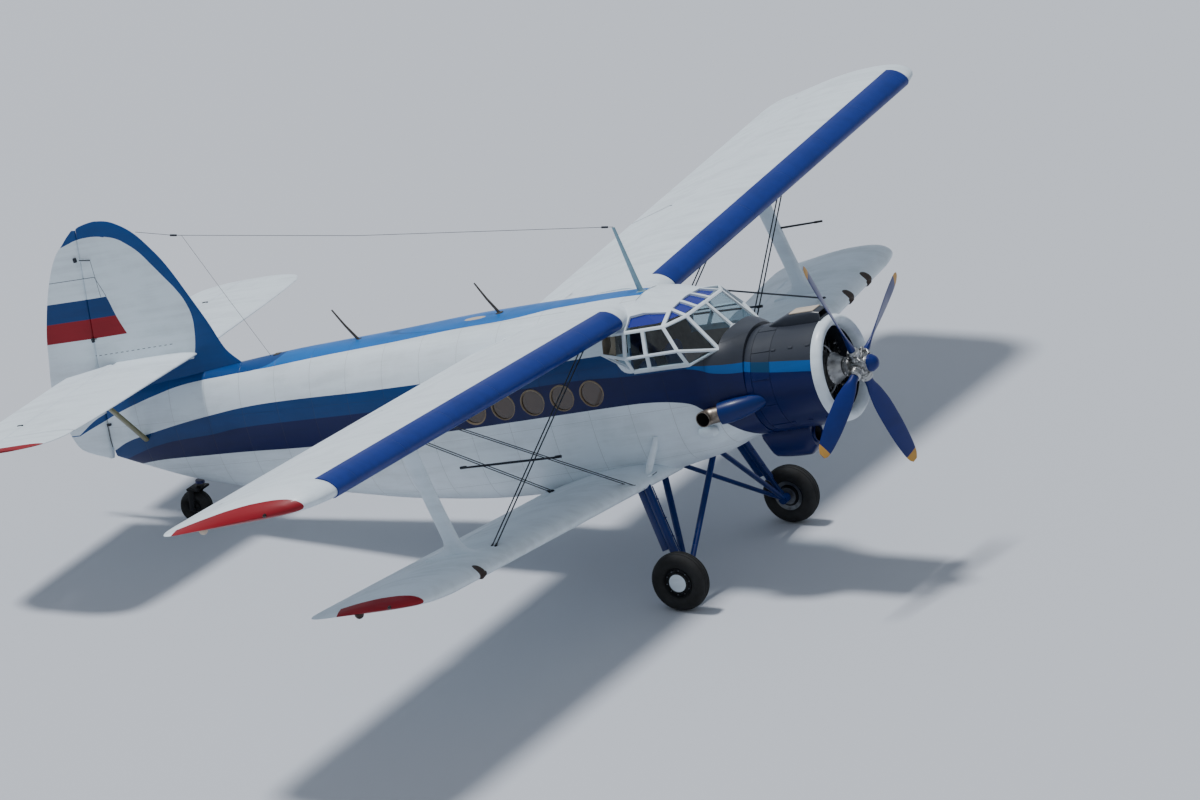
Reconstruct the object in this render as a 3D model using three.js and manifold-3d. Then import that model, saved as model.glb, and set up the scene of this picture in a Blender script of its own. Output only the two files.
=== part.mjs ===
// A large single-engine utility biplane, parked on its main wheels and its tail wheel.
// Units are millimetres, +Z is up, +X is the nose and +Y is the port (left) side.
//
// The aircraft is drawn level in its own frame: x runs forward from the main axle, y to port and z up from
// the propeller shaft's line. The whole group is then pitched nose up to the angle at which it parks, and
// moved so that the bottom centre of its bounding box is the origin.
import * as THREE from "three";
import { mergeVertices } from "three/addons/utils/BufferGeometryUtils.js";
import { ConvexGeometry } from "three/addons/geometries/ConvexGeometry.js";
import Module from "manifold-3d";

const wasm = await Module();
wasm.setup();

// Driving dimensions.
const GAP = 0.4; // left between a piece and the neighbour that it is cut by or rests on
const RUN = 8; // running clearance of a moving surface

const MAIN_WHEEL = { x: 0, y: 1680, z: -2087, radius: 400, width: 260 };
const TAIL_WHEEL = { x: -8154, z: -574, radius: 235, width: 210, trail: 95 };
const PARKED_PITCH = Math.asin(0.20194); // both wheel bottoms then lie on one floor

const WALL = 40; // fuselage wall, skin and frames together
const FIREWALL_X = 1195;
const COCKPIT_REAR_X = -750;
const ROOF_FRONT_X = -280;
const CABIN_REAR_X = -4340;
const CABIN_FLOOR_Z = -800;
const WALL_FOOT_Z = -760; // the belly's own edges stand up to here round the floor
const COCKPIT_FLOOR_Z = -420;
const ROOF_EDGE_Z = 1000;

// Fuselage sections: x, top, bottom, half width, roundness of the upper half, roundness of the lower half.
const FUSELAGE = [
  [1195, 748, -706, 706, 2.1, 2.1],
  [945, 792, -700, 800, 3.0, 2.3],
  [540, 1010, -815, 878, 3.0, 2.8],
  [-280, 1436, -955, 885, 2.6, 3.2],
  [-900, 1452, -1070, 885, 2.6, 3.4],
  [-2760, 1450, -1030, 880, 2.6, 3.2],
  [-4340, 1408, -880, 790, 2.4, 2.8],
  [-5700, 1388, -655, 590, 2.3, 2.4],
  [-6900, 1328, -462, 410, 2.2, 2.2],
  [-7900, 1272, -215, 260, 2, 2],
  [-8800, 1240, 132, 120, 2, 2],
  [-9165, 1225, 290, 52, 2, 2],
].map(([x, top, bottom, half, upper, lower]) => ({ x, top, bottom, half, upper, lower }));

const WINDOW = { radius: 178, z: 388, first: -991, pitch: -462, count: 5 };
const SIDE_WINDOW = { x0: -690, x1: -300, z0: 850, z1: 1080 };
const CARGO_DOOR = { x0: -4232, x1: -2772, z0: -720, z1: 800, clear: 8, window: -3301, section: -2760 };

const UPPER = {
  x: -295, z: 1205, dihedral: Math.atan(0.0563), incidence: THREE.MathUtils.degToRad(3),
  chord: 2450, hinge: 0.72, inner: 300, flap: [900, 4200], aileron: [4214, 8300],
};
const LOWER = {
  x: -290, z: -955, dihedral: Math.atan(0.0928), incidence: THREE.MathUtils.degToRad(1),
  chord: 2000, hinge: 0.72, inner: 300, flap: [900, 6250],
};
// Planform of each wing: y, leading-edge setback, chord, share of the full thickness.
const UPPER_PLAN = [
  [300, 0, 2450, 1], [8400, 0, 2450, 1], [8700, 60, 2370, 0.92], [8880, 180, 2190, 0.76],
  [9000, 380, 1890, 0.56], [9065, 650, 1420, 0.32], [9088, 850, 800, 0.12],
];
const LOWER_PLAN = [
  [300, 0, 2000, 1], [6400, 0, 2000, 1], [6750, 60, 1930, 0.92], [6930, 180, 1760, 0.76],
  [7040, 340, 1480, 0.56], [7100, 540, 1060, 0.32], [7118, 700, 600, 0.12],
];
// Wing section at full thickness: share of the chord, upper surface, lower surface.
const AIRFOIL = [
  [0.0125, 0.032, -0.019], [0.05, 0.064, -0.03], [0.11, 0.087, -0.036], [0.22, 0.102, -0.039],
  [0.34, 0.104, -0.037], [0.5, 0.092, -0.032], [0.72, 0.057, -0.02], [1, 0.0025, -0.0025],
];
const SLAT = { y0: 790, y1: 8400, thick: 14 };

const STRUT_Y = 5150;
const HINGE_FIN = { top: [-8754, 3505], bottom: [-9200, 700] };
const [[hx1, hz1], [hx0, hz0]] = [HINGE_FIN.top, HINGE_FIN.bottom];
const hingeX = (z) => hx0 + ((hx1 - hx0) * (z - hz0)) / (hz1 - hz0);
const RUDDER_POST = 72; // from the rudder's hinge line forward to the flat end of the fuselage
// Fin: height, leading edge, half thickness at the hinge, and where it ends ahead of the hinge its rear edge.
const FIN = [
  [1100, -6500, 60], [1348, -6758, 58], [1547, -6935, 55], [1700, -7000, 53], [1891, -7062, 50],
  [2150, -7165, 45], [2431, -7285, 40], [2700, -7400, 36], [2936, -7520, 32], [3150, -7665, 28],
  [3320, -7797, 25], [3440, -7930, 21],
  [3521, -8057, 18], [3571, -8160, 14], [3600, -8275, 12, -8600], [3612, -8385, 9, -8500],
];
// Rudder: height, trailing edge, half thickness at the hinge.
const RUDDER = [
  [290, -9320, 38], [363, -9525, 44], [449, -9694, 50], [614, -9790, 56], [900, -9850, 60], [1384, -9892, 60],
  [1766, -9800, 53], [2037, -9735, 47], [2402, -9610, 41], [2732, -9470, 35], [3023, -9315, 30],
  [3243, -9155, 26], [3360, -9015, 22], [3445, -8920, 18], [3536, -8800, 12],
];
const TAILPLANE = { z: 1560, hinge: -8750 };
// Tailplane: y, leading edge, trailing edge of the elevator, half thickness at the hinge.
const TAIL_PLAN = [
  [40, -7380, -9410, 64], [600, -7420, -9430, 62], [3150, -7600, -9400, 36], [3400, -7720, -9330, 30],
  [3540, -7930, -9150, 20], [3620, -8230, -8950, 10],
];
const PROPELLER = { x: 2545, radius: 1750, hub: 150, phase: THREE.MathUtils.degToRad(24), blades: 4 };
const COWL = { x0: 1200, x1: 2215, radius: 712, lip: 2350, opening: 560, thick: 16 };
const ENGINE = { cylinders: 9, x: 1840, reach: 655, barrel: 82, rear: 1196 };

// Colours.
const FINISH = {
  white: { color: 0xe9edf0, roughness: 0.35, metalness: 0 },
  blue: { color: 0x134a97, roughness: 0.3, metalness: 0 },
  navy: { color: 0x15305f, roughness: 0.35, metalness: 0 },
  black: { color: 0x17181b, roughness: 0.6, metalness: 0 },
  rubber: { color: 0x1b1b1c, roughness: 0.85, metalness: 0 },
  steel: { color: 0x8d8f91, roughness: 0.4, metalness: 1 },
  dark: { color: 0x3b3d40, roughness: 0.5, metalness: 0.6 },
  tan: { color: 0xb79c6e, roughness: 0.8, metalness: 0 },
  glass: { color: 0xcfe2ea, roughness: 0.05, metalness: 0, transparent: true, opacity: 0.35 },
};
const materialOf = (name) => new THREE.MeshStandardMaterial(FINISH[name]);

// Geometry helpers.
/** A closed three.js geometry as a solid that can be joined and cut. */
function solid(geometry, matrix) {
  const plain = new THREE.BufferGeometry();
  const source = geometry.index ? geometry.toNonIndexed() : geometry;
  plain.setAttribute("position", source.getAttribute("position").clone());
  if (matrix) plain.applyMatrix4(matrix);
  const merged = mergeVertices(plain, 1e-3);
  const triVerts = new Uint32Array(merged.index.array);
  const vertProperties = merged.attributes.position.array;
  const make = () => new wasm.Manifold(new wasm.Mesh({ numProp: 3, vertProperties, triVerts }));
  const made = make();
  if (made.volume() > 0) return made;
  for (let i = 0; i < triVerts.length; i += 3) {
    [triVerts[i + 1], triVerts[i + 2]] = [triVerts[i + 2], triVerts[i + 1]];
  }
  return make();
}

/** A solid back as a three.js geometry. */
function geometryOf(body) {
  const mesh = body.getMesh();
  const position = new Float32Array(mesh.numVert * 3);
  for (let i = 0; i < mesh.numVert; i++)
    position.set(mesh.vertProperties.subarray(i * mesh.numProp, i * mesh.numProp + 3), i * 3);
  const geometry = new THREE.BufferGeometry();
  geometry.setAttribute("position", new THREE.BufferAttribute(position, 3));
  geometry.setIndex(new THREE.BufferAttribute(new Uint32Array(mesh.triVerts), 1));
  geometry.computeVertexNormals();
  return geometry;
}

const join = (...parts) => parts.flat(Infinity).reduce((a, b) => a.add(b));
const cut = (body, ...tools) => tools.flat(Infinity).reduce((a, b) => a.subtract(b), body);
const V = (x, y, z) => new THREE.Vector3(x, y, z);

/**
 * The solid through a row of rings, each a loop of the same number of points, closed at both ends.
 * The faces are split the other way on the starboard side, so that a symmetric form stays symmetric.
 */
function loft(rings) {
  const count = rings[0].length;
  const points = rings.flat();
  const faces = [];
  for (let r = 0; r + 1 < rings.length; r++)
    for (let i = 0; i < count; i++) {
      const j = (i + 1) % count;
      const [a, b, c, d] = [r * count + i, r * count + j, (r + 1) * count + j, (r + 1) * count + i];
      const starboard = points[a].y + points[b].y + points[c].y + points[d].y < 0;
      faces.push(...(starboard ? [a, b, d, b, c, d] : [a, b, c, a, c, d]));
    }
  for (const [r, flip] of [[0, true], [rings.length - 1, false]]) {
    const centre = rings[r].reduce((s, p) => s.add(p), V(0, 0, 0)).divideScalar(count);
    const at = points.push(centre) - 1;
    for (let i = 0; i < count; i++) {
      const a = r * count + i, b = r * count + ((i + 1) % count);
      faces.push(...(flip ? [at, b, a] : [at, a, b]));
    }
  }
  const geometry = new THREE.BufferGeometry().setFromPoints(points);
  geometry.setIndex(faces);
  return solid(geometry);
}

const box = (x0, x1, y0, y1, z0, z1) => solid(
  new THREE.BoxGeometry(x1 - x0, y1 - y0, z1 - z0).translate((x0 + x1) / 2, (y0 + y1) / 2, (z0 + z1) / 2),
);

/** A round bar or cone between two points. */
function bar(from, to, radius, radiusTo = radius, sides = 12) {
  const along = to.clone().sub(from);
  const turn = new THREE.Quaternion().setFromUnitVectors(V(0, 1, 0), along.clone().normalize());
  const matrix = new THREE.Matrix4().compose(from.clone().add(to).multiplyScalar(0.5), turn, V(1, 1, 1));
  return solid(new THREE.CylinderGeometry(radiusTo, radius, along.length(), sides), matrix);
}

/** A streamlined bar: ellipses whose long axis follows the flight line. */
function fairedBar(stations, sides = 12) {
  const axis = stations.at(-1).at.clone().sub(stations[0].at).normalize();
  const chordwise = V(1, 0, 0).addScaledVector(axis, -axis.x).normalize();
  const across = axis.clone().cross(chordwise);
  return loft(
    stations.map(({ at, chord, thick }) =>
      Array.from({ length: sides }, (_, i) => {
        const t = (2 * Math.PI * i) / sides;
        return at.clone().addScaledVector(chordwise, (Math.cos(t) * chord) / 2)
          .addScaledVector(across, (Math.sin(t) * thick) / 2);
      }),
    ),
  );
}

/** A shape of revolution about the flight line: profile points are [x, radius]. */
function revolved(profile, sides = 32) {
  const lathe = new THREE.LatheGeometry(profile.map(([x, r]) => new THREE.Vector2(r, x)), sides);
  return solid(lathe.rotateZ(-Math.PI / 2));
}

/** A flat outline in x and z, extruded between two y values. */
function plate(outline, y0, y1) {
  const shape = new THREE.Shape(outline.map(([x, z]) => new THREE.Vector2(x, z)));
  const geometry = new THREE.ExtrudeGeometry(shape, { depth: y1 - y0, bevelEnabled: false });
  return solid(geometry.rotateX(Math.PI / 2).translate(0, y1, 0));
}

const largest = (body) => body.decompose().reduce((a, b) => (a.volume() > b.volume() ? a : b));
const mirrored = (body) => solid(geometryOf(body), new THREE.Matrix4().makeScale(1, -1, 1));
const moved = (body, x, y, z) => solid(geometryOf(body), new THREE.Matrix4().makeTranslation(x, y, z));

const aircraft = new THREE.Group();

/** Adds one named piece to a group. */
function add(name, body, finish, parent = aircraft) {
  const mesh = new THREE.Mesh(geometryOf(body), materialOf(finish));
  mesh.name = name;
  parent.add(mesh);
  return mesh;
}

// Fuselage.
const RING = 28;
/** The fuselage's outer form, moved in by a depth. */
function hull(inset, x0 = -Infinity, x1 = Infinity) {
  const rings = FUSELAGE.filter((s) => s.x >= x0 && s.x <= x1).map((s) => {
    const middle = (s.top + s.bottom) / 2, tall = (s.top - s.bottom) / 2 - inset, half = s.half - inset;
    return Array.from({ length: RING }, (_, i) => {
      const t = (2 * Math.PI * (i + 0.5)) / RING;
      const power = 2 / (Math.sin(t) > 0 ? s.upper : s.lower);
      const part = (v) => Math.sign(v) * Math.abs(v) ** power;
      return V(s.x, half * part(Math.cos(t)), middle + tall * part(Math.sin(t)));
    });
  });
  return loft(rings);
}
const outer = hull(0);
const outerGrown = hull(-GAP);
const cavity = join(
  hull(WALL, CABIN_REAR_X).intersect(box(CABIN_REAR_X, COCKPIT_REAR_X, -2000, 2000, CABIN_FLOOR_Z, 3000)),
  hull(WALL).intersect(box(COCKPIT_REAR_X - 1, 900, -2000, 2000, COCKPIT_FLOOR_Z, 3000)),
);

// Canopy: corners of its glazed form on the port side, by the edge that they lie on.
const CANOPY = {
  crown: [V(-280, 0, 1435), V(264, 0, 1292), V(560, 0, 1168)],
  rail: [V(-280, 420, 1388), V(264, 420, 1258), V(540, 530, 1160)],
  shoulder: [V(-280, 850, 1139), V(330, 850, 1140)],
  sill: [V(-280, 1000, 817), V(537, 1000, 817)],
  foot: [V(-280, 862, 560), V(548, 850, 545)],
  nose: [V(870, 0, 788), V(945, 610, 645)],
  // Behind the rear post a slanting side window leads back to the fuselage's side.
  ear: [V(-740, 811, 867), V(-700, 704, 1110)],
};
const { crown, rail, shoulder, sill, foot, nose, ear } = CANOPY;
const bothSides = (points) => points.flatMap((p) => [p, V(p.x, -p.y, p.z)]);
const canopyPoints = bothSides(Object.values(CANOPY).flat());
/** The canopy's convex form, drawn in towards its middle by a depth. */
function canopyForm(depth) {
  const drawnIn = canopyPoints.map((p) => drawIn(p, depth));
  return solid(new ConvexGeometry(drawnIn));
}
const drawIn = (p, depth) => V(
  250 + (p.x - 250) * (1 - depth / 620), p.y * (1 - depth / 1000), 400 + (p.z - 400) * (1 - depth / 900),
);
/** A canopy shell cut clear of the fuselage behind it and of the cockpit's width at the rear post's foot. */
const canopyRear = (form, ...wings) => largest(cut(
  form, wings, outerGrown.intersect(box(-2000, ROOF_FRONT_X + GAP / 2, -2000, 2000, -2000, 2000)),
  box(ROOF_FRONT_X - 10, ROOF_FRONT_X + 50, -820, 820, 500, 600),
));
/** Everything above the canopy's foot line. */
function canopySpace(grow) {
  const base = bothSides([...CANOPY.foot, ...CANOPY.nose]);
  const points = base.flatMap((p) => {
    const q = V(p.x + Math.sign(p.x - 200) * grow, p.y * 1.25, p.z - grow);
    return [q, V(q.x, q.y, 2200)];
  });
  return solid(new ConvexGeometry(points));
}
const noseDeck = cut(outerGrown, canopySpace(0)).intersect(box(ROOF_FRONT_X, 1300, -2000, 2000, -2000, 2000));

const shell = cut(outer, cavity, canopySpace(GAP));
const tubSpace = box(COCKPIT_REAR_X + GAP, 1300, -2000, 2000, -2000, 1500);
const roofSpace = box(CABIN_REAR_X + GAP, ROOF_FRONT_X + 1, -2000, 2000, ROOF_EDGE_Z + GAP, 2000);
const sideWindow = box(SIDE_WINDOW.x0, SIDE_WINDOW.x1, -2000, 2000, SIDE_WINDOW.z0, SIDE_WINDOW.z1);
// The bulkhead between the cockpit and the cabin, with its doorway, is part of the forward fuselage.
const bulkhead = cut(
  hull(WALL - 8).intersect(
    box(COCKPIT_REAR_X + GAP, COCKPIT_REAR_X + 30, -2000, 2000, COCKPIT_FLOOR_Z - 50, ROOF_EDGE_Z),
  ),
  box(COCKPIT_REAR_X - 10, COCKPIT_REAR_X + 50, -320, 320, COCKPIT_FLOOR_Z, 900),
);
const tub = join(
  cut(shell.intersect(tubSpace), box(-5000, ROOF_FRONT_X + 1, -2000, 2000, ROOF_EDGE_Z, 2000), sideWindow),
  bulkhead,
);
const roof = cut(shell.intersect(roofSpace), sideWindow);
const belly = shell.intersect(box(CABIN_REAR_X + GAP, COCKPIT_REAR_X, -2000, 2000, -2000, WALL_FOOT_Z));
const tail = cut(
  outer.intersect(box(-20000, CABIN_REAR_X, -2000, 2000, -2000, 2000)),
  plate([0, 1500].map((z) => [hingeX(z) + RUDDER_POST, z]).concat([[-11000, 1500], [-11000, 0]]), -400, 400),
);
const windowHole = (x) => bar(V(x, 300, WINDOW.z), V(x, 1200, WINDOW.z), WINDOW.radius, WINDOW.radius, 20);
const windows = Array.from({ length: WINDOW.count }, (_, i) => {
  const x = WINDOW.first + i * WINDOW.pitch;
  return { x, body: windowHole(x) };
});
const wall = shell.intersect(
  box(CABIN_REAR_X + GAP, COCKPIT_REAR_X, 0, 2000, WALL_FOOT_Z + GAP, ROOF_EDGE_Z),
);
const doorHole = box(CARGO_DOOR.x0, CARGO_DOOR.x1, 300, 2000, CARGO_DOOR.z0, CARGO_DOOR.z1);
const wallRight = mirrored(cut(wall, windows.map((w) => w.body)));
const frontWindows = windows.filter((w) => w.x > CARGO_DOOR.x1 + 200).map((w) => w.body);
const wallLeftPlain = cut(wall, frontWindows, doorHole);
/** The fuselage side's distance from the middle at one place, between the last two cabin sections. */
function skinAt(x, z) {
  const [a, b] = [CARGO_DOOR.section, CABIN_REAR_X].map((at) => FUSELAGE.find((row) => row.x === at));
  const [near, far] = [a, b].map(({ top, bottom, half, upper }) => {
    const share = (z - (top + bottom) / 2) / ((top - bottom) / 2);
    return half * (1 - share ** upper) ** (1 / upper);
  });
  return near + ((far - near) * (x - a.x)) / (b.x - a.x);
}
// The cargo door's hinge barrel runs along its top edge, just outside the skin.
const HINGE_BARREL = 8;
const hingeZ = CARGO_DOOR.z1 - CARGO_DOOR.clear / 2;
const hingeEnds = (past) => [CARGO_DOOR.x0 + CARGO_DOOR.clear - past, CARGO_DOOR.x1 - CARGO_DOOR.clear + past]
  .map((x) => V(x, skinAt(x, hingeZ) + 2, hingeZ));
const barrelSpace = bar(...hingeEnds(6), (HINGE_BARREL + GAP) / Math.cos(Math.PI / 12));
const door = cut(
  wall.intersect(box(CARGO_DOOR.x0 + CARGO_DOOR.clear, CARGO_DOOR.x1 - CARGO_DOOR.clear, 300, 2000,
    CARGO_DOOR.z0 + CARGO_DOOR.clear, CARGO_DOOR.z1 - CARGO_DOOR.clear)),
  windowHole(CARGO_DOOR.window),
);
add("forward_fuselage", tub, "blue");
add("cabin_roof", roof, "white");
add("cabin_belly", belly, "white");
add("cabin_wall_right", wallRight, "white");
add("cabin_wall_left", cut(wallLeftPlain, barrelSpace), "white");
add("cargo_door", join(door, bar(...hingeEnds(0), HINGE_BARREL)), "white");
add("tail_cone", tail, "white");

// Canopy.
const FRAME_BAR = 26; // half the width of a frame bar
/** The middle of a pane, cut out of the frame: its corners drawn in, extruded along its normal. */
function paneCutter(corners) {
  const normal = corners[2].clone().sub(corners[0]).cross(corners.at(-1).clone().sub(corners[1])).normalize();
  const count = corners.length;
  const drawn = corners.map((p, i) => {
    const before = corners[(i + count - 1) % count], after = corners[(i + 1) % count];
    const u = before.clone().sub(p).normalize(), v = after.clone().sub(p).normalize();
    const sine = u.clone().cross(v).length();
    return p.clone().addScaledVector(u, FRAME_BAR / sine).addScaledVector(v, FRAME_BAR / sine);
  });
  return loft([-70, 50].map((d) => drawn.map((p) => p.clone().addScaledVector(normal, d))));
}
const mix = (a, b, t) => a.clone().lerp(b, t);
// The roof's glazing has three panes abreast: the middle one is cut with a half on each side of the crown.
const CROWN_SHARE = 0.36;
const roofPane = (inner, outer) => [[1, outer], [2, outer], [2, inner], [1, inner]]
  .map(([i, t]) => mix(crown[i], rail[i], t));
const overlap = -FRAME_BAR / 420; // the two halves of the middle pane meet past the crown
const onSill = (t) => mix(sill[0], sill[1], t);
const onShoulder = (t) => mix(shoulder[0], shoulder[1], t);
const low = [0, 1].map((i) => mix(foot[i], sill[i], 0.15)); // above the wide lower border
const PANES = [
  roofPane(CROWN_SHARE, 1),
  roofPane(overlap, CROWN_SHARE),
  [rail[2], rail[1], shoulder[1]],
  [shoulder[0], shoulder[1], mix(shoulder[1], rail[1], 0.85), mix(shoulder[0], rail[0], 0.62)],
  [crown[2], nose[0], nose[1], rail[2]],
  [rail[2], nose[1], sill[1], shoulder[1]],
  [onSill(0.4), sill[1], shoulder[1], onShoulder(0.48)],
  [sill[0], onSill(0.4), onShoulder(0.48), shoulder[0]],
  [mix(low[0], low[1], 0.31), low[1], sill[1], onSill(0.42)],
  [low[0], mix(low[0], low[1], 0.31), onSill(0.42), sill[0]],
  [foot[1], nose[1], sill[1]],
  [ear[0], sill[0], shoulder[0], ear[1]],
  [low[0], sill[0], ear[0]],
];
const paneCuts = PANES.map(paneCutter);
const canopyShell = cut(canopyForm(0), canopyForm(30), noseDeck);
const canopyFrame = cut(canopyShell, paneCuts, paneCuts.map(mirrored));
const canopyGlass = cut(canopyForm(30 + GAP), canopyForm(37), noseDeck);

// Cockpit.
const panel = fairedBox(
  [[640, COCKPIT_FLOOR_Z + GAP, 560, 560], [700, COCKPIT_FLOOR_Z + GAP, 600, 600]], 0, 0.1,
);
/** A block between stations along x: x, bottom, top, half width, with an optional offset to one side. */
function fairedBox(stations, y = 0, corner = 0.25) {
  return loft(stations.map(([x, z0, z1, half]) => {
    const c = Math.min(half, (z1 - z0) / 2) * corner;
    const corners = [[1, 1], [-1, 1], [-1, -1], [1, -1]];
    return corners.flatMap(([sy, sz]) => {
      const Y = y + sy * half, Z = sz > 0 ? z1 : z0;
      const a = V(x, Y - sy * c, Z), b = V(x, Y, Z - sz * c);
      return sy * sz > 0 ? [b, a] : [a, b];
    });
  }));
}
// Footwells for the two pilots, with the pedestal's space between them.
const footwells = [[0, 240], [-420, 130], [420, 130]]
  .map(([y, half]) => box(600, 720, y - half, y + half, COCKPIT_FLOOR_Z - 20, 60));
add("instrument_panel", cut(panel, footwells), "dark");
const columns = [];
for (const [side, y] of [["right", -380], ["left", 380]]) {
  const seat = join(
    box(-330, 130, y - 225, y + 225, -60, 40),
    box(-400, -310, y - 225, y + 225, -60, 620),
    box(-260, 40, y - 60, y + 60, COCKPIT_FLOOR_Z + GAP, -50),
  );
  add(`seat_${side}`, seat, "navy");
  columns.push(
    bar(V(330, y, COCKPIT_FLOOR_Z + 20), V(300, y, 330), 18, 18, 8),
    bar(V(300, y - 150, 330), V(300, y + 150, 330), 14, 14, 8),
    bar(V(300, y - 150, 310), V(300, y - 150, 430), 14, 14, 8),
    bar(V(300, y + 150, 310), V(300, y + 150, 430), 14, 14, 8),
    box(290, 370, y - 40, y + 40, COCKPIT_FLOOR_Z + GAP, COCKPIT_FLOOR_Z + 70),
  );
}
const crossTube = bar(V(330, -380, COCKPIT_FLOOR_Z + 40), V(330, 380, COCKPIT_FLOOR_Z + 40), 22, 22, 8);
add("control_columns", join(crossTube, columns), "black");

// Engine.
const crankcase = revolved([
  [FIREWALL_X + GAP, 0], [FIREWALL_X + GAP, 340], [1560, 340], [1640, 270], [2010, 270], [2070, 215],
  [2200, 190], [2330, 120], [2420, 105], [2420, 0],
], 24);
const cylinders = Array.from({ length: ENGINE.cylinders }, (_, i) => {
  const t = Math.PI / 2 + (2 * Math.PI * i) / ENGINE.cylinders;
  const out = V(0, Math.cos(t), Math.sin(t));
  const at = (r, x = ENGINE.x) => V(x, out.y * r, out.z * r);
  return [
    bar(at(220), at(ENGINE.reach - 130), ENGINE.barrel, ENGINE.barrel, 12),
    bar(at(ENGINE.reach - 150), at(ENGINE.reach), ENGINE.barrel + 32, ENGINE.barrel + 14, 10),
  ];
});
add("engine", join(crankcase, cylinders), "dark");
const cowlDisc = revolved([
  [FIREWALL_X, 0], [FIREWALL_X, COWL.radius + GAP], [COWL.x1, COWL.radius + GAP], [COWL.x1, 0],
]);
const cowl = revolved([
  [FIREWALL_X + GAP, 704], [1240, 712], [1440, COWL.radius], [COWL.x1, COWL.radius],
  [COWL.x1, COWL.radius - COWL.thick], [1440, COWL.radius - COWL.thick], [FIREWALL_X + GAP, 686],
  [FIREWALL_X + GAP, 704],
]);
const noseRing = revolved([
  [COWL.x1 + GAP, 712], [2275, 708], [2322, 692], [COWL.lip, 655], [2342, 612], [2310, 580], [2260, 563],
  [COWL.x1 + GAP, COWL.opening], [COWL.x1 + GAP, 712],
]);
add("nose_ring", noseRing, "white");
const intake = cut(
  fairedBox([
    [1480, 640, 735, 70], [1620, 640, 820, 105], [1850, 640, 893, 128], [2120, 640, 893, 128],
    [2235, 640, 850, 118],
  ]),
  revolved([[1300, 0], [1300, COWL.radius - 6], [2400, COWL.radius - 6], [2400, 0]]),
  box(2080, 2400, -88, 88, 752, 838), box(COWL.x1, 2400, -200, 200, 0, 722),
);
add("engine_cowl", join(cowl, intake), "navy");
const cooler = cut(
  fairedBox([
    [890, -850, -600, 130], [1010, -1065, -600, 165], [1500, -1105, -600, 170], [1640, -1000, -600, 160],
  ]),
  cowlDisc, outerGrown, box(1420, 1700, -125, 125, -925, -745),
);
add("oil_cooler", cooler, "navy");
const exhaust = cut(
  join(
    bar(V(1400, -690, -100), V(800, -950, -128), 85, 108, 16),
    bar(V(840, -937, -126), V(560, -1030, -132), 92, 84, 16),
  ),
  cowlDisc, outerGrown, bar(V(700, -983, -130), V(540, -1037, -133), 66, 66, 12),
);
add("exhaust", exhaust, "steel");

// Propeller.
const propeller = new THREE.Group();
propeller.name = "propeller_axis";
propeller.position.set(PROPELLER.x, 0, 0);
propeller.rotation.x = PROPELLER.phase;
aircraft.add(propeller);
const hubProfile = (grow) => [
  [-124, 0], [-124, 92], [-96, 92], [-96, 150 + grow], [70, 150 + grow], [92, 112], [200, 108], [252, 84],
  [276, 48], [285, 0],
];
add("propeller_hub", revolved(hubProfile(0), 24), "steel", propeller);
// Blade: distance from the axis, chord, thickness, pitch in degrees.
const BLADE = [
  [130, 118, 118, 50], [300, 122, 100, 48], [480, 190, 56, 42], [790, 262, 36, 33], [1130, 276, 27, 26],
  [1460, 246, 19, 21], [1670, 178, 13, 18], [PROPELLER.radius, 76, 8, 17],
].map(([at, chord, thick, pitch]) => ({ at, chord, thick, pitch: THREE.MathUtils.degToRad(pitch) }));
const blade = cut(
  loft(BLADE.map(({ at, chord, thick, pitch }) => {
    const lead = V(Math.sin(pitch), -Math.cos(pitch), 0), across = V(Math.cos(pitch), Math.sin(pitch), 0);
    return Array.from({ length: 12 }, (_, i) => {
      const t = (2 * Math.PI * i) / 12;
      return V(0, 0, at).addScaledVector(lead, (Math.cos(t) * chord) / 2)
        .addScaledVector(across, (Math.sin(t) * thick) / 2);
    });
  })),
  revolved([[-96.4, 0], [-96.4, 150 + GAP], [70.4, 150 + GAP], [70.4, 0]], 24),
);
for (let k = 0; k < PROPELLER.blades; k++) {
  const mesh = add(`propeller_blade_${k + 1}`, blade, "blue", propeller);
  mesh.rotation.x = -Math.PI / 2 + (k * Math.PI) / 2;
}

// Wings.
// The shock strut runs from the axle to the root of the lower wing, and above it to the fuselage's side.
const STRUT_FOOT = V(-22, 1497, MAIN_WHEEL.z + 20);
const shockStrutForm = (grow) => join(
  // The round cylinder, and the piston below it.
  fairedBar([
    { at: V(-352, 1258, -838), chord: 114 + grow, thick: 114 + grow },
    { at: V(-131, 1425, -1700), chord: 114 + grow, thick: 114 + grow },
    { at: V(-114, 1438, -1765), chord: 90 + grow, thick: 90 + grow },
    { at: V(-98, 1448, -1800), chord: 72 + grow, thick: 72 + grow }, { at: STRUT_FOOT, chord: 66, thick: 66 },
  ], 16),
  // The fairing behind the cylinder, cut off square above the piston.
  fairedBar([
    { at: V(-436, 1258, -838), chord: 160 + grow, thick: 60 + grow },
    { at: V(-206, 1427, -1712), chord: 176 + grow, thick: 66 + grow },
  ]),
  // The way through the wing, and the fairing above it.
  fairedBar([
    { at: V(-352, 1262, -868), chord: 108 + grow, thick: 90 + grow },
    { at: V(-385, 1085, -752), chord: 108 + grow, thick: 96 + grow },
    { at: V(-262, 880, -390), chord: 94 + grow, thick: 96 + grow },
    { at: V(-248, 850, -330), chord: 60, thick: 80 },
  ]),
);
// The space that the strut leaves in the wing, with a gap at its sides and at its ends.
const shockStrutSpace = join([[0, 0], [0, 2 * GAP], [2 * GAP, -2 * GAP]]
  .map(([y, z]) => moved(shockStrutForm(2 * GAP), 0, y, z)));
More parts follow.
